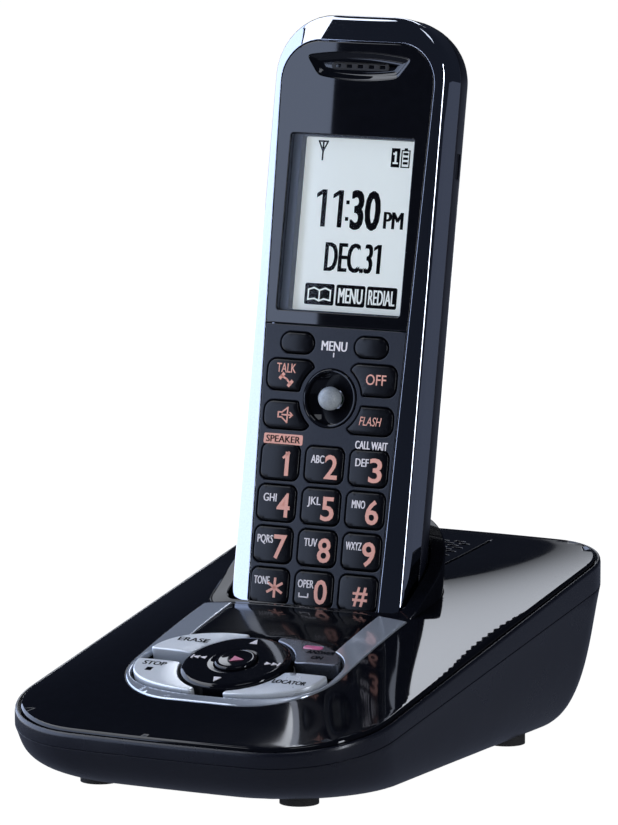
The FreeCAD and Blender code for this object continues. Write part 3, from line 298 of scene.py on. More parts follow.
def plate(outer, holes=(), top=0.0, bottom=-1.0, edge=0.3, hole_edge=0.15, spacing=0.0, steps=4):
    """A plate with rounded upper edges. top and bottom are heights, or functions of x and y."""
    lines = [outer] + list(holes)
    radii = [edge] + [-hole_edge] * len(holes)
    turns = [math.pi / 2 * k / steps for k in range(steps + 1)]
    last = [offset(line, radius) for line, radius in zip(lines, radii)]
    flat, triangles = triangulated(last[0], last[1:], spacing)
    border = sum(len(line) for line in lines)
    inner = flat[border:]
    points, faces, starts = [], [], []
    for level in range(steps + 2):
        starts.append(sum(len(p) for p in points))
        for line, radius in zip(lines, radii):
            if level == 0:
                points.append(np.column_stack([line, height(bottom, line)]))
                continue
            turn = turns[level - 1]
            shrunk = offset(line, radius * (1 - math.cos(turn)))
            z = height(top, shrunk) - abs(radius) * (1 - math.sin(turn))
            points.append(np.column_stack([shrunk, z]))
    for lower, upper in zip(starts, starts[1:]):
        first = 0
        for k, line in enumerate(lines):
            count = len(line)
            for i in range(count):
                a, b = first + i, first + (i + 1) % count
                quad = (lower + a, lower + b, upper + b, upper + a)
                faces.append(quad if k == 0 else quad[::-1])
            first += count
    crown = sum(len(p) for p in points)
    if len(inner):
        points.append(np.column_stack([inner, height(top, inner)]))
        points.append(np.column_stack([inner, height(bottom, inner)]))

    def up(i):
        return starts[-1] + i if i < border else crown + i - border

    def down(i):
        return i if i < border else crown + len(inner) + i - border

    faces += [tuple(up(i) for i in t) for t in triangles]
    faces += [tuple(down(i) for i in t[::-1]) for t in triangles]
    return np.vstack(points), faces


def loft(rings, start=True, end=True, around=False):
    """A skin over rings of equal count. around joins the last to the first."""
    count = len(rings[0])
    faces = []
    pairs = list(zip(range(len(rings)), range(1, len(rings))))
    if around:
        pairs.append((len(rings) - 1, 0))
    for low, high in pairs:
        for i in range(count):
            j = (i + 1) % count
            faces.append((low * count + i, low * count + j, high * count + j, high * count + i))
    if start and not around:
        faces.append(tuple(range(count))[::-1])
    if end and not around:
        faces.append(tuple((len(rings) - 1) * count + i for i in range(count)))
    return np.vstack(rings), faces


def lathe(profile, steps=96, closed=True):
    """A profile of r, z turned round the third axis."""
    angles = np.linspace(0, 2 * math.pi, steps + 1)[:-1]
    rings = []
    for r, z in profile:
        rings.append(np.column_stack([r * np.cos(angles), r * np.sin(angles), np.full(steps, z)]))
    return loft(rings, not closed, not closed, closed)


def bent(corners, radii, steps=4):
    """An open line of values through corners, each rounded by its radius."""
    corners = [np.array(c, float) for c in corners]
    line = [corners[0]]
    for k in range(1, len(corners) - 1):
        before, here, after = corners[k - 1], corners[k], corners[k + 1]
        radius = radii[k] if isinstance(radii, (list, tuple)) else radii
        first, second = np.linalg.norm(before - here), np.linalg.norm(after - here)
        reach = min(radius, first * 0.49, second * 0.49)
        if reach < 1e-4:
            line.append(here)
            continue
        a = here + (before - here) * reach / first
        b = here + (after - here) * reach / second
        for t in np.linspace(0, 1, steps + 1):
            line.append((1 - t) ** 2 * a + 2 * t * (1 - t) * here + t * t * b)
    return line + [corners[-1]]


def joined(*solids):
    points, faces, first = [], [], 0
    for p, f in solids:
        points.append(p)
        faces += [tuple(first + i for i in face) for face in f]
        first += len(p)
    return np.vstack(points), faces


# ---------------------------------------------------------------- materials
NOISE_SPAN = (0.3, 0.7)     # the part of a noise's range that is used
CLOUD_SCALE = 55.0
RELIEF = 0.0001             # metres
CLEAR_IOR = 1.22


def shader_tree(owner, bare=False):
    """The owner's node tree. bare drops the shader that it starts with."""
    owner.use_nodes = True
    tree = owner.node_tree
    if bare:
        tree.nodes.remove(tree.nodes["Principled BSDF"])
    return tree


def add(tree, kind, **values):
    """A new shader node with some of its inputs set."""
    node = tree.nodes.new("ShaderNode" + kind)
    for key, value in values.items():
        node.inputs[key.replace("_", " ")].default_value = value
    return node


def wire(tree, *wires):
    """Each wire is a node, its output, another node and its input."""
    for source, way_out, target, way_in in wires:
        tree.links.new(source.outputs[way_out], target.inputs[way_in])


def plastic(name, colour, rough, spread=0.03, metallic=0.0, coat=0.0, bump=0.0, grain=900.0,
            tint=0.15, specular=0.5, emission=0.0, coat_rough=0.03):
    """Moulded or painted surface: cloudy colour, roughness that varies, and a fine grain."""
    mat = bpy.data.materials.new(name)
    tree = shader_tree(mat)
    shader = tree.nodes["Principled BSDF"]
    coords = add(tree, "TexCoord")
    cloud = add(tree, "TexNoise", Scale=CLOUD_SCALE, Detail=4.0)
    fine = add(tree, "TexNoise", Scale=grain, Detail=3.0)
    ramp = add(tree, "ValToRGB")
    for stop, position, share in zip(ramp.color_ramp.elements, NOISE_SPAN, (1 - tint, 1 + tint)):
        stop.position = position
        stop.color = [min(c * share, 1.0) for c in colour] + [1]
    span = add(tree, "MapRange", From_Min=NOISE_SPAN[0], From_Max=NOISE_SPAN[1],
               To_Min=max(rough - spread, 0.01), To_Max=rough + spread)
    for key, value in (("Metallic", metallic), ("Specular IOR Level", specular), ("Coat Weight", coat),
                       ("Coat Roughness", coat_rough), ("Emission Strength", emission)):
        shader.inputs[key].default_value = value
    wire(tree, (coords, "Object", cloud, "Vector"), (coords, "Object", fine, "Vector"),
         (fine, "Fac", ramp, "Fac"), (ramp, "Color", shader, "Base Color"),
         (cloud, "Fac", span, "Value"), (span, "Result", shader, "Roughness"))
    # emission makes the surface glow in its own colour; on the display and the print inks that glow is painted
    # light.
    if emission:
        wire(tree, (ramp, "Color", shader, "Emission Color"))
    if bump:
        relief = add(tree, "Bump", Strength=bump, Distance=RELIEF)
        wire(tree, (fine, "Fac", relief, "Height"), (relief, "Normal", shader, "Normal"))
    return mat


def clear_sheet(name):
    """A clear plastic sheet: it lets light through and shines at its surface."""
    mat = bpy.data.materials.new(name)
    tree = shader_tree(mat, bare=True)
    through, shine, mix = add(tree, "BsdfTransparent"), add(tree, "BsdfGlossy"), add(tree, "MixShader")
    rim = add(tree, "Fresnel", IOR=CLEAR_IOR)
    coords = add(tree, "TexCoord")
    smear = add(tree, "TexNoise", Scale=60.0)
    span = add(tree, "MapRange", To_Min=0.02, To_Max=0.08)
    wire(tree, (coords, "Object", smear, "Vector"), (smear, "Fac", span, "Value"),
         (span, "Result", shine, "Roughness"), (rim, "Fac", mix, "Fac"), (through, "BSDF", mix, 1),
         (shine, "BSDF", mix, 2), (mix, "Shader", tree.nodes["Material Output"], "Surface"))
    return mat


PIANO = plastic("piano_black", (0.0035, 0.0038, 0.006), 0.05, 0.02, coat=0.1, grain=500.0, specular=0.32)
PANEL = plastic("panel_black", (0.003, 0.0033, 0.005), 0.015, 0.005, coat=0.2, grain=500.0, coat_rough=0.01)
DARK = plastic("dark_case", (0.0055, 0.0065, 0.012), 0.3, 0.05, bump=0.12, grain=2600.0)
FRAME = plastic("frame_mirror", (0.42, 0.44, 0.49), 0.02, 0.008, metallic=1.0, grain=3000.0, tint=0.05)
BEZEL = plastic("bezel_slate", (0.05, 0.065, 0.10), 0.4, 0.05, grain=2600.0)
RIM = plastic("rim_black", (0.0055, 0.0065, 0.012), 0.26, 0.05, bump=0.1, grain=2600.0)
SLATE = plastic("plate_slate", (0.009, 0.011, 0.018), 0.24, 0.04, coat=0.05, grain=1800.0, specular=0.35)
KEY = plastic("key_black", (0.0025, 0.0026, 0.004), 0.2, 0.04, grain=1800.0, specular=0.25)
SILVER = plastic("satin_silver", (0.74, 0.77, 0.80), 0.3, 0.05, metallic=0.4, bump=0.08, grain=5000.0,
                 tint=0.06)
SMOKE = plastic("silver_dark", (0.16, 0.17, 0.20), 0.28, 0.05, metallic=0.8, bump=0.08, grain=5000.0)
CHROME = plastic("trim_smoked", (0.55, 0.59, 0.65), 0.13, 0.03, metallic=0.6, grain=3000.0, tint=0.05)
# The display's pale grey, with a painted glow (emission 0.42) that brightens it beyond what the lamps give.
DISPLAY_GLOW = plastic("display_pale_painted_glow", (0.74, 0.80, 0.80), 0.5, 0.05, grain=3300.0, tint=0.02, emission=0.42)
INK = plastic("display_ink", (0.006, 0.006, 0.008), 0.5, 0.05, specular=0.0)
# The print inks carry a faint painted glow (emission 0.05 to 0.1) that lifts them above what the lamps give.
PINK = plastic("print_salmon_painted_glow", (0.68, 0.33, 0.26), 0.5, 0.05, grain=4000.0, tint=0.06, emission=0.1)
ROSE = plastic("print_rose_painted_glow", (0.55, 0.16, 0.26), 0.35, 0.05, grain=4000.0, tint=0.06, emission=0.05)
PALE = plastic("print_pale_painted_glow", (0.70, 0.66, 0.68), 0.5, 0.05, grain=4000.0, tint=0.05, emission=0.1)
BLACK_PRINT = plastic("print_black", (0.006, 0.006, 0.008), 0.5, 0.05, specular=0.0)
KNOB = plastic("knob_grey", (0.30, 0.33, 0.36), 0.38, 0.06, bump=0.25, grain=2200.0)
RUBBER = plastic("rubber", (0.012, 0.012, 0.013), 0.75, 0.08, bump=0.3, grain=1800.0)
BOARD = plastic("board_green", (0.02, 0.11, 0.05), 0.4, 0.08, coat=0.2, bump=0.2, grain=700.0)
STEEL = plastic("steel", (0.55, 0.55, 0.56), 0.3, 0.08, metallic=1.0, bump=0.1, grain=1500.0)
WRAP = plastic("cell_wrap", (0.05, 0.16, 0.10), 0.3, 0.06, coat=0.3, bump=0.1, grain=400.0)
CONE = plastic("speaker_cone", (0.02, 0.02, 0.022), 0.85, 0.08, bump=0.5, grain=1500.0)
GOLD = plastic("gold", (0.75, 0.52, 0.20), 0.22, 0.06, metallic=1.0, grain=1500.0)
LED = plastic("lens_pink", (0.50, 0.12, 0.24), 0.15, 0.04, coat=0.5, emission=0.1)
WELL = plastic("well_black", (0.003, 0.0033, 0.005), 0.12, 0.03, grain=900.0, specular=0.15)
CLEAR = clear_sheet("lens_clear")


# ---------------------------------------------------------------- making pieces
MERGE = 1e-7                # metres
FLAT = 0.99999              # how squarely a face looks out before it counts as flat
CAPITAL = 0.69              # height of the font's capitals at size one
FONT_DEPTH = 0.01
SECOND_STRIKE_W = 0.004


def link(obj):
    bpy.context.scene.collection.objects.link(obj)
    return obj


def crease_flats(mesh, out):
    """Sharp edges round the faces that look straight out, so their shading stays flat."""
    shaped = bmesh.new()
    shaped.from_mesh(mesh)
    facing = [abs(face.normal.dot(out)) > FLAT for face in shaped.faces]
    for edge in shaped.edges:
        if len({facing[face.index] for face in edge.link_faces}) > 1:
            edge.smooth = False
    shaped.to_mesh(mesh)
    shaped.free()


def make(name, solid, place, body, material, replaces=(), sharp=32.0):
    """A mesh piece from a solid drawn in the frame `place`."""
    points, faces = solid
    matrix = np.array(place)
    world = (points @ matrix[:3, :3].T + matrix[:3, 3]) * MM
    mesh = bpy.data.meshes.new(name)
    mesh.from_pydata([tuple(p) for p in world], [], [tuple(f) for f in faces])
    shaped = bmesh.new()
    shaped.from_mesh(mesh)
    bmesh.ops.remove_doubles(shaped, verts=shaped.verts, dist=MERGE)
    bmesh.ops.recalc_face_normals(shaped, faces=shaped.faces)
    shaped.to_mesh(mesh)
    shaped.free()
    mesh.materials.append(material)
    mesh.shade_smooth()
    mesh.set_sharp_from_angle(angle=math.radians(sharp))
    crease_flats(mesh, matrix[:3, 2])
    obj = link(bpy.data.objects.new(name, mesh))
    weigh = obj.modifiers.new("normals", "WEIGHTED_NORMAL")
    weigh.keep_sharp = True
    weigh.weight = 80
    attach(obj, body)
    if replaces:
        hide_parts(*replaces)
    return obj


def flat_shape(name, lines, place, body, material, w, thick=0.04):
    """Printed shapes: closed lines filled and given a thin body at height w."""
    solids = [plate(np.array(line, float), (), w + thick, w, 0.0, steps=1) for line in lines]
    return make(name, joined(*solids), place, body, material)


def lettering(name, words, at, size, place, body, material, w, width=None, bold=0.0, slant=0.0,
              thick=0.03, side="CENTER", strike=0.0):
    """Words printed on a surface: at is the middle of the line, size the height of a capital.
    strike prints them again that far to the right, to thicken the strokes."""
    curve = bpy.data.curves.new(name + "_line", "FONT")
    curve.body = words
    curve.align_x = "LEFT"
    curve.offset = bold
    curve.shear = slant
    curve.resolution_u = 3
    curve.extrude = FONT_DEPTH
    holder = link(bpy.data.objects.new(name + "_line", curve))
    bpy.context.view_layer.update()
    graph = bpy.context.evaluated_depsgraph_get()
    mesh = bpy.data.meshes.new_from_object(holder.evaluated_get(graph))
    bpy.data.objects.remove(holder)
    points = np.array([tuple(v.co) for v in mesh.vertices])
    low, high = points[:, 0].min(), points[:, 0].max()
    scale = size / CAPITAL
    across = scale if width is None else width / (high - low)
    shift = {"CENTER": (low + high) / 2, "LEFT": low, "RIGHT": high}[side]
    local = np.column_stack([at[0] + (points[:, 0] - shift) * across,
                             at[1] + (points[:, 1] - CAPITAL / 2) * scale,
                             w + thick / 2 + points[:, 2] * thick / (2 * FONT_DEPTH)])
    matrix = np.array(place)
    faces = [tuple(face.vertices) for face in mesh.polygons]
    if strike:
        faces += [tuple(i + len(local) for i in face) for face in faces]
        local = np.vstack([local - (strike / 2, 0, 0), local + (strike / 2, 0, SECOND_STRIKE_W)])
    world = (local @ matrix[:3, :3].T + matrix[:3, 3]) * MM
    mesh = bpy.data.meshes.new(name)
    mesh.from_pydata([tuple(p) for p in world], [], faces)
    mesh.materials.append(material)
    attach(link(bpy.data.objects.new(name, mesh)), body)


# ---------------------------------------------------------------- camera
camera_data = bpy.data.cameras.new("camera")
camera_data.lens = 256.5
camera_data.sensor_width = 36.0
camera_data.clip_start, camera_data.clip_end = 0.05, 20.0
camera = link(bpy.data.objects.new("camera", camera_data))
camera.location = (0.6544, -1.2209, 0.2806)
LOOK = Vector((-0.4676, 0.8725, -0.1419))
camera.rotation_mode = "QUATERNION"
camera.rotation_quaternion = LOOK.to_track_quat("-Z", "Y")
bpy.context.scene.camera = camera


# ---------------------------------------------------------------- base
def section_rings(steps):
    """Rings of an edge profile: (plan inset, height over a sloped plane, which plane)."""
    rings = []
    for inset, z, parting in steps:
        line = bowed(inset, RIM_PROUD)
        base = PARTING_Z + PARTING_SLOPE * line[:, 1] if parting else DECK_EDGE_Z + DECK_SLOPE * line[:, 1]
        rings.append(np.column_stack([line, base + z]))
    return rings


trim_edge = np.vstack([
    [(TRIM_HALF, TRIM_BACK_Y)], [(-TRIM_HALF, TRIM_BACK_Y)],
    arc(-TRIM_HALF + TRIM_R, TRIM_FRONT_Y + TRIM_R, TRIM_R, math.pi, 1.5 * math.pi, 16),
    arc(TRIM_HALF - TRIM_R, TRIM_FRONT_Y + TRIM_R, TRIM_R, 1.5 * math.pi, 2 * math.pi, 16)])


def collar_section(side, front, steps=14):
    """The handset's section moved out, as u and w."""
    half, corner, back_r, centre = HALF_WIDTH + side, 3.0, BACK_R + side, HALF_WIDTH - BACK_R
    quarter = math.pi / 2
    parts = [arc(half - corner, front - corner, corner, 0, quarter, steps),
             arc(-half + corner, front - corner, corner, quarter, 2 * quarter, steps),
             arc(-centre, PARTING_W, back_r, 2 * quarter, 3 * quarter, steps * 2),
             arc(centre, PARTING_W, back_r, 3 * quarter, 4 * quarter, steps * 2)]
    line = []
    for k, part in enumerate(parts):
        following = parts[(k + 1) % 4][0]
        shares = np.linspace(0, 1, 9)[1:-1, None]
        line += [part, part[-1] + (following - part[-1]) * shares]
    return np.vstack(line)


SECTION = frame_matrix(KEY_ORIGIN, (1, 0, 0), HANDSET.col[2][:3], HANDSET.col[1][:3])

deck_holes = [dense(offset(trim_edge, -SEAT_GAP), 1.2)]
collar_hole = dropped(collar_section(COLLAR_FLARE + SEAT_GAP, COLLAR_FRONT + SEAT_GAP), SECTION)
deck_holes.append(dense(collar_hole[::-1], 1.0))
rows = int((GRILLE_Y[1] - GRILLE_Y[0]) / SLOT_PITCH[1])
for row in range(rows + 1):
    y = GRILLE_Y[0] + row * SLOT_PITCH[1]
    for column in range(-3, 4):
        x = column * SLOT_PITCH[0] + (SLOT_PITCH[0] / 2 if row % 2 else 0.0)
        if abs(x) + SLOT_SIZE[0] / 2 < GRILLE_HALF + 0.8:
            deck_holes.append(rounded((x - SLOT_SIZE[0] / 2, x + SLOT_SIZE[0] / 2),
                                      (y - SLOT_SIZE[1] / 2, y + SLOT_SIZE[1] / 2), 0.35, 3))
grooves = [rounded((side * GROOVE_X - 0.35, side * GROOVE_X + 0.35), (GRILLE_Y[0] - 2, GRILLE_Y[1] + 2), 0.3, 3)
           for side in (-1, 1)]
deck_holes += [dense(groove, 2.0) for groove in grooves]
deck = plate(dense(bowed(), 1.6), deck_holes, deck_z, lambda x, y: deck_z(x, y) - DECK_WALL,
             edge=0.7, hole_edge=0.15, spacing=1.7, steps=4)
floors = [plate(dense(groove, 2.0), (), lambda x, y: deck_z(x, y) - 0.7,
                lambda x, y: deck_z(x, y) - DECK_WALL, edge=0.05) for groove in grooves]
make("deck", joined(deck, *floors), WORLD, "base", PIANO, ["deck_cover"])

rim_seat = -DECK_WALL - 0.05
rim_rings = section_rings([
    (0.4, 0.0, True), (0.12, 0.1, True), (0.0, 0.4, True),
    (0.0, -RIM_DROP - 1.0, False), (0.06, -RIM_DROP - 0.5, False), (0.22, -RIM_DROP - 0.16, False),
    (0.45, -RIM_DROP, False), (0.72, -RIM_DROP - 0.04, False), (0.8, -RIM_DROP - 0.16, False),
    (0.8, rim_seat, False), (RIM_WALL + RIM_LEDGE, rim_seat, False),
    (RIM_WALL + RIM_LEDGE, rim_seat - 1.7, False), (RIM_WALL, rim_seat - 1.7, False),
    (RIM_WALL, 0.0, True)])
make("rim", loft(rim_rings, around=True), WORLD, "base", RIM, ["upper_case"])



def leftwards(point):
    """Orders points round the controls from the right leg, by the front, to the left leg."""
    return -((math.atan2(point[1] - CLUSTER_Y, point[0]) + 1.5 * math.pi) % (2 * math.pi))


well = dropped(oval(TRIM_WELL), CLUSTER)
front_part = [p for p in well if not (abs(p[0]) < TRIM_LEG_INNER and p[1] > CLUSTER_Y)]
inner_edge = np.array(sorted(front_part, key=leftwards))
trim_line = np.vstack([
    [(TRIM_HALF, TRIM_BACK_Y), (TRIM_LEG_INNER, TRIM_BACK_Y), (TRIM_LEG_INNER, inner_edge[0][1])],
    inner_edge, [(-TRIM_LEG_INNER, inner_edge[-1][1]), (-TRIM_LEG_INNER, TRIM_BACK_Y)], trim_edge[1:]])
trim_line = dense(trim_line, 0.8)
make("trim", plate(trim_line, (), lambda x, y: deck_z(x, y) + TRIM_PROUD,
                   lambda x, y: deck_z(x, y) - TRIM_THICK, edge=0.3, spacing=1.5),
     WORLD, "base", CHROME, ["panel_trim"])


def ring_rows():
    """The collar's skin: inner wall from the pocket's floor up, over the lip, and down outside."""
    floor_v, foot_v = FOOT_V - REST_GAP, FOOT_V - REST_GAP - 2.0

    def at(side, front, v):
        """Points of a section at heights v along the handset, in the base's frame."""
        line = collar_section(side, front)
        points = np.array([KEY_ORIGIN[0] + line[:, 0],
                        KEY_ORIGIN[1] + v * math.sin(LEAN) - line[:, 1] * math.cos(LEAN),
                        KEY_ORIGIN[2] + v * math.cos(LEAN) + line[:, 1] * math.sin(LEAN)])
        return points.T

    def top_v(side, front):
        """Height at which each point of a section meets the collar's slanting top."""
        line = collar_section(side, front)
        w = line[:, 1]
        rise = RIM_LINE[0] + RIM_LINE[1] * (KEY_ORIGIN[1] - w * math.cos(LEAN))
        return ((rise - KEY_ORIGIN[2] - w * math.sin(LEAN))
                / (math.cos(LEAN) - RIM_LINE[1] * math.sin(LEAN)))

    def flare(v):
        share = np.clip((v - COLLAR_FLARE_V) / (COLLAR_TOP_V + 8 - COLLAR_FLARE_V), 0, 1)
        return COLLAR_FLARE + (COLLAR_WALL + POCKET_GAP - COLLAR_FLARE) * share

    pocket_top = top_v(POCKET_GAP, POCKET_GAP)
    rings = [at(POCKET_GAP, POCKET_GAP, floor_v)]
    for share in (0.25, 0.5, 0.75):
        rings.append(at(POCKET_GAP, POCKET_GAP, floor_v + (pocket_top - floor_v) * share))
    for drop, side in ((0.5, 0.0), (0.2, 0.05), (0.04, 0.18), (0.0, 0.4)):
        out = POCKET_GAP + side
        rings.append(at(out, out, top_v(out, out) - drop))
    outer_v = top_v(COLLAR_FLARE, COLLAR_FRONT)
    for _ in range(6):
        outer_v = np.array([top_v(float(side), COLLAR_FRONT)[k] for k, side in enumerate(flare(outer_v))])

    def outer(v, inset):
        sides = flare(v) - inset
        return np.array([at(float(side), COLLAR_FRONT - inset, level)[k]
                         for k, (side, level) in enumerate(zip(sides, v))])

    for inset, drop in ((0.5, 0.0), (0.2, 0.06), (0.05, 0.22), (0.0, 0.5)):
        rings.append(outer(outer_v - drop, inset))
    for share in (0.15, 0.3, 0.5, 0.75, 1.0):
        rings.append(outer(outer_v - 0.5 + (foot_v - outer_v + 0.5) * share, 0.0))
    return rings


make("collar", loft(ring_rows()), WORLD, "base", PIANO, ["cradle_collar"])


def quarter_button(sign_x, sign_y):
    """A quarter of the ring of buttons, drawn in the controls' frame."""
    gap_y = BUTTON_SIDE_GAP[1] if sign_y > 0 else -BUTTON_SIDE_GAP[0]
    line = np.abs(oval(0.0, 720))
    line = line[(line[:, 0] >= BUTTON_END_GAP) & (line[:, 1] >= gap_y)]
    line = line[np.argsort(-np.arctan2(line[:, 1], line[:, 0]))]
    keep = [line[0]]
    for p in line[1:]:
        if np.linalg.norm(p - keep[-1]) > 0.3:
            keep.append(p)
    low = math.asin(gap_y / BUTTON_INNER_R)
    high = math.acos(BUTTON_END_GAP / BUTTON_INNER_R)
    bite = arc(0, 0, BUTTON_INNER_R, low, high, 24)
    shape = relaxed(dense(np.vstack([keep, bite]), 0.35), 6)
    shape = shape * np.array([sign_x, sign_y])
    area = (shape[:, 0] * np.roll(shape[:, 1], -1) - np.roll(shape[:, 0], -1) * shape[:, 1]).sum()
    return shape if area > 0 else shape[::-1]


def button_top(x, y):
    """The buttons' faces fall away a little towards the rocker."""
    r = np.sqrt(x * x + y * y)
    return BUTTON_TOP - 0.25 * np.clip((17.0 - r) / 3.0, 0, 1)


def pill(centre, size, grow=0.0):
    """A long rounded outline about a centre."""
    half_x, half_y = size[0] / 2 + grow, size[1] / 2 + grow
    x, y = centre
    return rounded((x - half_x, x + half_x), (y - half_y, y + half_y), 0.85, 6)


for name, sx, sy, finish in (("erase_button", -1, 1, SILVER), ("stop_button", -1, -1, SILVER),
                             ("locator_button", 1, -1, SILVER), ("answer_button", 1, 1, SMOKE)):
    hole = [pill(LED_AT, LED_SIZE, 0.05)] if name == "answer_button" else ()
    cap = plate(quarter_button(sx, sy), hole, button_top, BUTTON_BOTTOM, edge=0.4, hole_edge=0.1, spacing=1.4)
    make(name + "_cap", cap, CLUSTER, name, finish, [name])

rocker_line = bent([(ROCKER_HOLE_R, -1.4), (ROCKER_HOLE_R, 1.25), (6.4, 1.5), (9.5, 1.5), (12.3, 1.45),
                    (ROCKER_R, 1.0), (ROCKER_R, -2.6), (9.0, -2.6), (9.0, -1.4)],
                   [0, 0, 0.5, 1.2, 0.8, 0.8, 0, 0, 0])
make("rocker", lathe(rocker_line, 128), CLUSTER, "nav_rocker", PIANO, ["nav_rocker"])
play_line = bent([(0.02, 1.8), (2.6, 1.9), (4.2, PLAY_TOP), (PLAY_R, 1.9), (PLAY_R, -1.8), (STEM_R, -1.8),
                  (STEM_R, STEM_END), (0.02, STEM_END)], [0, 0.8, 0.6, 0.7, 0, 0, 0, 0])
make("play", lathe(play_line, 96, False), CLUSTER, "play_button", PIANO, ["play_button"])
led = plate(pill(LED_AT, LED_SIZE), (), lambda x, y: 1.0 + 0 * x, -0.1, edge=0.35)
make("led", led, CLUSTER, "answer_button", LED, ["answer_led"])


# ---------------------------------------------------------------- drawn signs
def triangle(cx, cy, size, turn):
    """A three-cornered arrow pointing along turn, in degrees."""
    angles = [math.radians(turn + a) for a in (0, 125, 235)]
    reach = (size, size * 0.8, size * 0.8)
    return [(cx + r * math.cos(a), cy + r * math.sin(a)) for a, r in zip(angles, reach)]


def bar(x_range, y_range):
    (x0, x1), (y0, y1) = x_range, y_range
    return [(x0, y0), (x1, y0), (x1, y1), (x0, y1)]


def stroke(points, width):
    """A drawn line of the given width, as one closed line for each run."""
    made = []
    for (x0, y0), (x1, y1) in zip(points, points[1:]):
        length = math.hypot(x1 - x0, y1 - y0)
        ax, ay = (x1 - x0) / length * width / 2, (y1 - y0) / length * width / 2
        made.append([(x0 - ax + ay, y0 - ay - ax), (x1 + ax + ay, y1 + ay - ax),
                     (x1 + ax - ay, y1 + ay + ax), (x0 - ax - ay, y0 - ay + ax)])
    return made


LABEL_W = BUTTON_TOP + 0.005
for key, words, at, size, width in (
        ("erase", "ERASE", (-16.3, 9.4), 1.75, 8.0), ("stop", "STOP", (-19.6, -4.0), 1.75, 6.0),
        ("locator", "LOCATOR", (17.8, -6.9), 1.75, 8.6), ("answer", "ANSWER", (18.0, 9.0), 1.6, 7.2)):
    lettering(key + "_sign", words, at, size, CLUSTER, key + "_button", BLACK_PRINT, LABEL_W, width,
              strike=0.15)
lettering("answer_sign_on", "ON", (18.2, 6.4), 1.6, CLUSTER, "answer_button", BLACK_PRINT, LABEL_W, 2.8,
          strike=0.15)
flat_shape("stop_mark", [bar((-20.4, -18.8), (-7.8, -6.2))], CLUSTER, "stop_button", BLACK_PRINT, LABEL_W)
arrows = [triangle(0, 9.7, 1.5, 90), triangle(0, -9.7, 1.5, -90)]
for side, turn in ((-1, 180), (1, 0)):
    arrows += [triangle(side * 8.4, 0, 1.0, turn), triangle(side * 10.2, 0, 1.0, turn)]
    arrows.append(bar((side * 11.5 - 0.2, side * 11.5 + 0.2), (-0.8, 0.8)))
flat_shape("rocker_marks", arrows, CLUSTER, "nav_rocker", PALE, 1.5, 0.12)
flat_shape("play_mark", [triangle(0.1, 0, 2.1, 0)], CLUSTER, "play_button", ROSE, 1.92, 0.1)


# ---------------------------------------------------------------- handset
def case_ring(inset, w, half=HALF_WIDTH):
    line = tall_outline(half - inset, half - inset, FOOT_V + inset, TOP_V - inset,
                        max(FOOT_CORNER_R - inset, 3.0), max(TOP_R - inset, 4.0))
    return np.column_stack([line, np.full(len(line), w)])


def face_ring(inset, w):
    line = tall_outline(FACE_FOOT_HALF - inset, FACE_TOP_HALF - inset, FACE_FOOT_V + inset, FACE_TOP_V - inset,
                        FACE_FOOT_R - inset, FACE_R - inset)
    return np.column_stack([line, np.full(len(line), w)])


def softened(rings, radii, steps=4):
    """Rounds the skin where it turns from ring to ring."""
    made = [rings[0]]
    for k in range(1, len(rings) - 1):
        before, here, after = rings[k - 1], rings[k], rings[k + 1]
        if not radii[k]:
            made.append(here)
            continue
        first = np.linalg.norm(before - here, axis=1, keepdims=True)
        second = np.linalg.norm(after - here, axis=1, keepdims=True)
        a = here + (before - here) * np.minimum(radii[k] / np.maximum(first, 1e-6), 0.49)
        b = here + (after - here) * np.minimum(radii[k] / np.maximum(second, 1e-6), 0.49)
        for t in np.linspace(0, 1, steps + 1):
            made.append((1 - t) ** 2 * a + 2 * t * (1 - t) * here + t * t * b)
    return made + [rings[-1]]


front_rings = softened([
    case_ring(CASE_WALL, PARTING_W), case_ring(0.0, PARTING_W), case_ring(0.0, SIDE_W),
    case_ring(0.0, FRONT_W, FACE_HALF), face_ring(-0.08, 0.0), face_ring(0.0, -PLATE_THICK),
    face_ring(LEDGE_REACH, -PLATE_THICK), face_ring(LEDGE_REACH, -PLATE_THICK - CASE_WALL),
    case_ring(CASE_WALL, SIDE_W - 0.4), case_ring(CASE_WALL, PARTING_W)],
    [0, 0.35, 1.1, 1.3, 0.3, 0, 0, 0, 0, 0], 5)
make("front_frame", loft(front_rings[:-1], around=True), HANDSET, "handset", FRAME, ["handset_front_case"],
     sharp=40)

face_line = tall_outline(FACE_FOOT_HALF - SEAT_GAP, FACE_TOP_HALF - SEAT_GAP, FACE_FOOT_V + SEAT_GAP,
                         FACE_TOP_V - SEAT_GAP, FACE_FOOT_R - SEAT_GAP, FACE_R - SEAT_GAP, 12)


def face_half(v):
    share = (v - FACE_FOOT_V) / (FACE_TOP_V - FACE_FOOT_V)
    return FACE_FOOT_HALF - SEAT_GAP + (FACE_TOP_HALF - FACE_FOOT_HALF) * share


def face_part(above):
    """The face's outline over or under the split between its two plates."""
    split = PANEL_SPLIT_V + (SEAT_GAP / 2 if above else -SEAT_GAP / 2)
    half = face_half(split)
    keep = face_line[face_line[:, 1] > split] if above else face_line[face_line[:, 1] < split]
    ends = np.array([(-half, split), (half, split)]) if above else np.array([(half, split), (-half, split)])
    line = np.vstack([keep, ends])
    middle = line.mean(axis=0)
    around = np.argsort(np.arctan2(line[:, 1] - middle[1], line[:, 0] - middle[0]))
    return dense(line[around], 2.0)


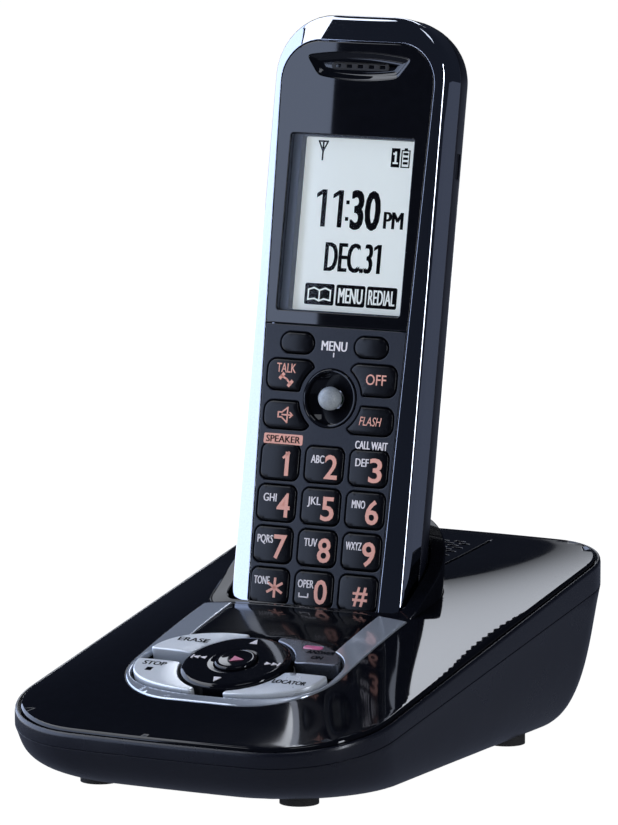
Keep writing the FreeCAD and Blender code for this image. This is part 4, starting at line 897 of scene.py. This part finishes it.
def ear_line(grow=0.0):
    top, foot = EAR_V[1] + grow, EAR_V[0] - grow
    half_top, half_foot = EAR_HALF + grow, EAR_HALF - 3.4 + grow
    us = np.linspace(half_top, -half_top, 21)
    upper = np.column_stack([us, top - 1.2 * (us / half_top) ** 2])
    us = np.linspace(-half_foot, half_foot, 21)
    lower = np.column_stack([us, foot + 0.9 * (us / half_foot) ** 2])
    return relaxed(dense(np.vstack([upper, lower]), 0.4), 8)


window = rounded((-WINDOW_HALF, WINDOW_HALF), WINDOW_V, 0.8, 6)
ear = ear_line()
make("face_glass", plate(face_part(True), [window, ear], 0.0, -PLATE_THICK, edge=0.3, hole_edge=0.2),
     HANDSET, "handset", PANEL, ["face_panel"])


def ear_ring(inset, w):
    return np.column_stack([offset(ear, inset), np.full(len(ear), w)])


bowl = loft([ear_ring(0.04, -PLATE_THICK), ear_ring(0.04, -0.22), ear_ring(0.3, -0.3), ear_ring(0.95, -0.92),
             ear_ring(1.25, -1.1), ear_ring(1.6, -1.17), ear_ring(2.2, -1.18)])
make("ear_bowl", bowl, HANDSET, "handset", PANEL)


def soft_line(side):
    u, v = side * SOFT_KEY_AT[0], SOFT_KEY_AT[1]
    half_u, half_v = SOFT_KEY_SIZE[0] / 2, SOFT_KEY_SIZE[1] / 2
    return rounded((u - half_u, u + half_u), (v - half_v, v + half_v), half_v - 0.05, 10)


def call_line(side, v_range):
    inner, outer = CALL_KEY_U
    u_range = (inner, outer) if side > 0 else (-outer, -inner)
    line = dense(rounded(u_range, v_range, 2.2, 8), 0.35)
    centre = np.array([0.0, STICK_V])
    away = line - centre
    reach = np.linalg.norm(away, axis=1, keepdims=True)
    pushed = np.where(reach < CALL_RING_R, centre + away / reach * CALL_RING_R, line)
    return relaxed(pushed, 4)


KEY_LINES = {}
for row, labels in enumerate((("star", "0", "hash"), ("7", "8", "9"), ("4", "5", "6"), ("1", "2", "3"))):
    for column, label in enumerate(labels):
        u, v = (column - 1) * KEY_PITCH[0], row * KEY_PITCH[1]
        KEY_LINES["key_" + label] = rounded((u - KEY_SIZE[0] / 2, u + KEY_SIZE[0] / 2),
                                            (v - KEY_SIZE[1] / 2, v + KEY_SIZE[1] / 2), KEY_R, 8)
KEY_LINES["soft_key_left"], KEY_LINES["soft_key_right"] = soft_line(-1), soft_line(1)
KEY_LINES["talk_key"], KEY_LINES["off_key"] = call_line(-1, CALL_UPPER_V), call_line(1, CALL_UPPER_V)
KEY_LINES["speakerphone_key"] = call_line(-1, CALL_LOWER_V)
KEY_LINES["flash_key"] = call_line(1, CALL_LOWER_V)

plate_holes = [offset(line, -KEY_GAP) for line in KEY_LINES.values()]
plate_holes.append(circle(0, STICK_V, DISH_R + SEAT_GAP))
plate_holes.append(circle(0, -8.0, 0.5, 16))
make("keypad_face", plate(face_part(False), plate_holes, 0.0, -PLATE_THICK, edge=0.3, hole_edge=0.25),
     HANDSET, "handset", SLATE, ["keypad_plate"])

KEY_CROWN = 0.16
for name, line in KEY_LINES.items():
    middle = (line.max(axis=0) + line.min(axis=0)) / 2
    half = (line.max(axis=0) - line.min(axis=0)) / 2

    def pillow(x, y, middle=middle, half=half):
        """A key's face, lowest at its edges."""
        return KEY_RISE - KEY_CROWN * (((x - middle[0]) / half[0]) ** 2 + ((y - middle[1]) / half[1]) ** 2)

    make(name + "_cap", plate(line, (), pillow, -PLATE_THICK - 0.9, edge=0.45, spacing=1.1, steps=4),
         HANDSET, name, KEY, [name])

STICK = HANDSET @ Matrix.Translation((0, STICK_V, 0))
NECK_R, DISH_FLOOR = 2.4, -3.35
dish_line = [(NECK_R, DISH_FLOOR), (DISH_R, DISH_FLOOR), (DISH_R, 0.1),
             (6.93, 0.26), (6.78, 0.35), (6.5, 0.34), (6.34, 0.22),
             (6.3, 0.0), (6.28, -0.5)]
for r in np.linspace(6.1, NECK_R, 12):
    dish_line.append((r, BOWL_R - BOWL_DEPTH - math.sqrt(BOWL_R ** 2 - r * r)))
make("dish", lathe(dish_line), STICK, "handset", PIANO, ["joystick_housing"])
ball_line = []
for turn in np.linspace(90, -62, 26):
    angle = math.radians(turn)
    r, z = BALL_R * math.cos(angle), BALL_R * math.sin(angle)
    dimple = 0.22 * max(1 - r / 1.7, 0) ** 1.5
    ball_line.append((max(r, 0.02), z - dimple))
make("ball", lathe(ball_line, 64, False), STICK, "stick_knob", KNOB, ["stick_knob"])

# display
def window_line(left, right, ends, radius, steps=6):
    """The window's outline moved inwards at its left, its right and its two ends."""
    across = (-WINDOW_HALF + left, WINDOW_HALF - right)
    return rounded(across, (WINDOW_V[0] + ends, WINDOW_V[1] - ends), radius, steps)


GLASS_BACK_W = GLASS_TOP_W - 0.9
bezel = plate(window_line(-1.2, -1.2, -1.2, 1.0), [window_line(2.2, 0.4, 0.4, 0.7)], -PLATE_THICK - 0.05,
              GLASS_BACK_W, edge=0.1, hole_edge=0.1)
make("display_frame", bezel, HANDSET, "handset", BEZEL, ["lcd_module"])
glass = plate(window_line(2.25, 0.45, 0.45, 0.3, 3), (), GLASS_TOP_W, GLASS_BACK_W, edge=0.1)
make("display_glass", glass, HANDSET, "handset", DISPLAY_GLOW)
make("lens", plate(window_line(0.1, 0.1, 0.1, 0.7), (), -0.1, -1.2, edge=0.15), HANDSET, "handset", CLEAR,
     ["lcd_lens"])

SHOWN_W = GLASS_TOP_W + 0.01
WORD_W = SHOWN_W + 0.035


def shown(name, shapes, ink=INK):
    """A sign on the display, dark on the glass or pale on a dark box."""
    flat_shape(name, shapes, HANDSET, "handset", ink, SHOWN_W if ink is INK else WORD_W)


def shown_words(name, words, at, size, width, strike, ink=INK, bold=0.0):
    w = SHOWN_W if ink is INK else WORD_W
    lettering(name, words, at, size, HANDSET, "handset", ink, w, width, bold=bold, strike=strike)


ones = []
for u in (-8.8, -4.3):
    ones += [bar((u, u + 1.25), (87.3, 96.3)), [(u - 1.5, 94.2), (u, 95.1), (u, 96.3), (u - 1.5, 95.3)]]
ones += [bar((-2.2, -1.3), (v, v + 0.95)) for v in (89.0, 93.0)]
shown("time_ones", ones)
shown_words("time_digits", "30", (3.2, 91.8), 9.0, 7.8, 0.35, bold=0.02)
shown_words("time_half", "PM", (10.9, 89.7), 4.1, 5.0, 0.4)
shown_words("date", "DEC.3", (-0.3, 80.2), 7.0, 12.6, 0.5)
shown("date_one", [bar((7.4, 8.4), (76.7, 83.7)), [(6.4, 82.1), (7.4, 82.8), (7.4, 83.7), (6.4, 83.0)]])
for name, u_range in (("book", (-11.4, -3.4)), ("menu", (-2.9, 5.0)), ("redial", (5.4, 13.6))):
    box_line = dense(rounded(u_range, (68.4, 73.6), 0.5, 3), 5)
    box = plate(box_line, (), SHOWN_W + 0.03, SHOWN_W, edge=0.0, steps=1)
    make("shown_" + name, box, HANDSET, "handset", INK)
shown_words("shown_menu_word", "MENU", (1.05, 71.0), 3.6, 6.4, 0.2, DISPLAY_GLOW)
shown_words("shown_redial_word", "REDIAL", (9.5, 71.0), 3.6, 7.0, 0.15, DISPLAY_GLOW)

spine = -7.4
pages = []
for side in (-1, 1):
    page = [(0, 69.4), (1.3, 69.9), (3.0, 69.6), (3.0, 72.0), (1.5, 72.5), (0, 71.9)]
    pages += stroke([(spine + side * u, v) for u, v in page], 0.36)
pages += stroke([(spine, 69.4), (spine, 71.9)], 0.36)
shown("shown_book_sign", pages, DISPLAY_GLOW)
aerial = stroke([(-9.7, 103.5), (-9.7, 107.9)], 0.45)
aerial += stroke([(-9.7, 105.4), (-10.9, 107.9), (-8.5, 107.9), (-9.7, 105.4)], 0.4)
shown("shown_aerial", aerial)
shown("shown_handset_box", [bar((8.9, 11.2), (102.5, 107.1))])
shown("shown_handset_number", [bar((9.85, 10.35), (103.3, 106.3)), bar((9.4, 10.8), (103.3, 103.7)),
                               bar((9.4, 9.9), (105.5, 106.0))], DISPLAY_GLOW)
cell = stroke([(11.7, 102.6), (13.8, 102.6), (13.8, 106.6), (11.7, 106.6), (11.7, 102.6)], 0.3)
cell.append(bar((12.3, 13.2), (106.7, 107.2)))
cell += [bar((12.1, 13.4), (v, v + 0.6)) for v in (103.3, 104.4, 105.5)]
shown("shown_battery", cell)

# number keys
PRINT_W = KEY_RISE - 0.14
PRINT_THICK = 0.18
PLATE_PRINT_W = 0.005
LINE_WIDTH = 0.62


def key_sign(name, shapes, key, ink=PINK):
    flat_shape(name, shapes, HANDSET, key, ink, PRINT_W, PRINT_THICK)


def key_words(name, words, at, size, key, ink, width, **look):
    lettering(name, words, at, size, HANDSET, key, ink, PRINT_W, width, thick=PRINT_THICK, **look)


LETTERS = {"2": "ABC", "3": "DEF", "4": "GHI", "5": "JKL", "6": "MNO", "7": "PQRS", "8": "TUV", "9": "WXYZ",
           "star": "TONE", "0": "OPER"}
for digit in ("1", "2", "3", "4", "5", "6", "7", "8", "9", "star", "0", "hash"):
    key = "key_" + digit
    line = KEY_LINES[key]
    cu, cv = (line.max(axis=0) + line.min(axis=0)) / 2
    if digit == "star":
        arms = []
        for k in range(3):
            angle = math.radians(90 + 60 * k)
            c, s = 2.1 * math.cos(angle), 2.1 * math.sin(angle)
            arms += stroke([(cu + 1.6 - c, cv - 0.3 - s), (cu + 1.6 + c, cv - 0.3 + s)], LINE_WIDTH)
        key_sign(key + "_sign", arms, key)
    elif digit == "hash":
        key_words(key + "_sign", "#", (cu + 0.8, cv - 0.2), 4.4, key, PINK, None, bold=0.015)
    else:
        key_words(key + "_sign", digit, (cu + 2.1, cv - 0.4), 5.6, key, PINK, None if digit == "1" else 3.5,
                  bold=0.015)
    if digit in LETTERS:
        width = {3: 3.5, 4: 4.2}[len(LETTERS[digit])]
        key_words(key + "_letters", LETTERS[digit], (cu + 0.1, cv + 1.3), 1.9, key, PALE, width, side="RIGHT",
                  strike=0.08)
key_sign("key_1_flag", stroke([(-10.85, 31.1), (-9.6, 32.2)], LINE_WIDTH), "key_1")
key_sign("oper_mark", stroke([(-3.6, -1.1), (-3.6, -1.9), (-1.2, -1.9), (-1.2, -1.1)], 0.3), "key_0", PALE)

key_words("talk_sign", "TALK", (-12.2, 52.6), 2.2, "talk_key", PINK, 5.2, bold=0.006)
receiver = stroke([(-13.4, 50.7), (-11.9, 49.9), (-10.9, 48.9)], 0.45)
receiver += stroke([(-13.6, 50.2), (-12.9, 51.0)], 0.8) + stroke([(-11.2, 48.5), (-10.5, 49.3)], 0.8)
key_sign("talk_mark", receiver, "talk_key")
key_words("off_sign", "OFF", (12.2, 51.2), 2.5, "off_key", PINK, 5.4, bold=0.006)
key_words("flash_sign", "FLASH", (11.6, 41.2), 2.1, "flash_key", PINK, 6.0, slant=0.25)
horn = stroke([(-13.4, 40.7), (-12.4, 40.7), (-10.9, 39.5), (-10.9, 43.1), (-12.4, 41.9), (-13.4, 41.9),
               (-13.4, 40.7)], 0.34)
horn += stroke([(-12.3, 41.3), (-9.6, 41.3)], 0.34)
horn += stroke([(-10.2, 40.7), (-9.5, 41.3), (-10.2, 41.9)], 0.3)
key_sign("speaker_mark", horn, "speakerphone_key")
lettering("menu_sign", "MENU", (0.0, 58.6), 2.3, HANDSET, "handset", PALE, PLATE_PRINT_W, 6.8, strike=0.15)
flat_shape("menu_tick", [bar((-0.15, 0.15), (55.9, 57.0))], HANDSET, "handset", PALE, PLATE_PRINT_W, 0.03)
lettering("wait_sign", "CALL WAIT", (12.2, 35.5), 1.9, HANDSET, "handset", PALE, PLATE_PRINT_W, 8.6,
          strike=0.12)
label = dense(rounded((-17.0, -6.4), (34.2, 36.7), 0.4, 4), 2.0)
make("speaker_label", plate(label, (), 0.035, PLATE_PRINT_W, edge=0.0, steps=1), HANDSET, "handset", PINK)
lettering("speaker_label_word", "SPEAKER", (-11.7, 35.45), 1.6, HANDSET, "handset", BLACK_PRINT, 0.036, 9.2,
          strike=0.1)

# ---------------------------------------------------------------- CAD pieces that stay, with finishes
FINISHES = {
    "handset_rear_case": DARK, "battery_cover": DARK, "earpiece_grille": CONE, "earpiece_speaker": CONE,
    "key_mat": RUBBER, "handset_board": BOARD, "battery_cells": WRAP, "battery_contacts": STEEL,
    "handset_loudspeaker": CONE, "charge_pads": GOLD, "handset_screws": STEEL, "stick_gimbal": STEEL,
    "stick_stem": STEEL, "control_panel": WELL, "lower_case": DARK, "rubber_feet": RUBBER,
    "base_screws": STEEL, "base_boards": BOARD, "base_speaker": CONE, "line_jack": DARK, "power_jack": DARK,
    "nav_pivot": RUBBER, "charge_contact_left": STEEL, "charge_contact_right": STEEL}
for name, finish in FINISHES.items():
    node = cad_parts[name]
    node.data.materials.clear()
    node.data.materials.append(finish)
    node.data.shade_smooth()
    weld = node.modifiers.new("weld", "WELD")
    weld.merge_threshold = 1e-6
    soften = node.modifiers.new("edges", "BEVEL")
    soften.width = 0.00015
    soften.segments = 2
    soften.limit_method = "ANGLE"
    soften.angle_limit = math.radians(40)
    soften.harden_normals = True

# ---------------------------------------------------------------- studio
world = bpy.data.worlds.new("studio")
bpy.context.scene.world = world
tree = shader_tree(world)
tree.nodes["Background"].inputs["Color"].default_value = (0.018, 0.022, 0.034, 1)
seen = add(tree, "Background", Color=(1, 1, 1, 1))
mix, ray = add(tree, "MixShader"), add(tree, "LightPath")
wire(tree, (ray, "Is Camera Ray", mix, "Fac"), (tree.nodes["Background"], "Background", mix, 1),
     (seen, "Background", mix, 2), (mix, "Shader", tree.nodes["World Output"], "Surface"))


def floor(reach=3.0):
    """The pale floor. Shiny surfaces see it as a dim blue, so that they keep their contrast."""
    mesh = bpy.data.meshes.new("floor")
    corners = [(-reach, -reach, 0), (reach, -reach, 0), (reach, reach, 0), (-reach, reach, 0)]
    mesh.from_pydata(corners, [], [(0, 1, 2, 3)])
    mat = bpy.data.materials.new("floor_pale")
    tree = shader_tree(mat)
    shader = tree.nodes["Principled BSDF"]
    shader.inputs["Base Color"].default_value = (0.85, 0.85, 0.86, 1)
    shader.inputs["Roughness"].default_value = 0.9
    shader.inputs["Specular IOR Level"].default_value = 0.0
    white = add(tree, "Emission", Strength=1.09)
    dark = add(tree, "Emission", Color=(0.10, 0.115, 0.16, 1))
    lift, choose, ray = add(tree, "MixShader", Fac=0.92), add(tree, "MixShader"), add(tree, "LightPath")
    wire(tree, (shader, "BSDF", lift, 1), (white, "Emission", lift, 2), (ray, "Is Glossy Ray", choose, "Fac"),
         (lift, "Shader", choose, 1), (dark, "Emission", choose, 2),
         (choose, "Shader", tree.nodes["Material Output"], "Surface"))
    mesh.materials.append(mat)
    link(bpy.data.objects.new("floor", mesh))


floor()


def softbox(name, centre, towards, size, strength, colour=(0.9, 0.95, 1.05), fade=None, skew=0.0):
    """A glowing card that the camera doesn't see. fade is the share of its light at its lower edge,
    and skew leans one of its upright edges."""
    mesh = bpy.data.meshes.new(name)
    w, h = size[0] / 2, size[1] / 2
    mesh.from_pydata([(-w - skew, -h, 0), (w, -h, 0), (w, h, 0), (-w + skew, h, 0)], [], [(0, 1, 2, 3)])
    mat = bpy.data.materials.new(name)
    tree = shader_tree(mat, bare=True)
    glow = add(tree, "Emission", Color=(*colour, 1), Strength=strength)
    if fade is not None:
        coords, split = add(tree, "TexCoord"), add(tree, "SeparateXYZ")
        span = add(tree, "MapRange", From_Min=-h, From_Max=h, To_Min=strength * fade, To_Max=strength)
        wire(tree, (coords, "Object", split, "Vector"), (split, "Y", span, "Value"),
             (span, "Result", glow, "Strength"))
    wire(tree, (glow, "Emission", tree.nodes["Material Output"], "Surface"))
    mesh.materials.append(mat)
    obj = link(bpy.data.objects.new(name, mesh))
    obj.location = centre
    aim = Vector(towards) - Vector(centre)
    obj.rotation_mode = "QUATERNION"
    obj.rotation_quaternion = (-aim).to_track_quat("-Z", "Y")
    obj.visible_camera = False
    obj.visible_shadow = False


LEFT_X = -0.80
MIDDLE = (0.0, 0.0, 0.05)
BLUE = (0.72, 0.86, 1.2)
# the long box's near edge leans with the handset, and its reflection ends on the handset's face
softbox("box_left", (LEFT_X, -0.47, 0.35), (0.0, -0.47, 0.35), (2.0, 0.80), 2.6, BLUE, skew=0.085)
softbox("box_left_high", (LEFT_X, -0.30, 1.15), (0.0, -0.30, 1.15), (1.6, 0.75), 3.0)
softbox("card_left", (-0.75, 0.35, 0.002), (-0.75, 0.35, 1.0), (1.1, 1.4), 2.5)
softbox("box_back", (-0.45, 1.07, 0.85), MIDDLE, (0.5, 0.56), 5.5, fade=0.06)
softbox("strip_right", (0.85, -0.28, 0.30), (0.0, -0.05, 0.15), (0.10, 0.75), 12.0)
softbox("box_top", (0.25, -0.6, 1.5), MIDDLE, (0.5, 0.4), 2.0)

bpy.context.scene.view_settings.view_transform = "Standard"
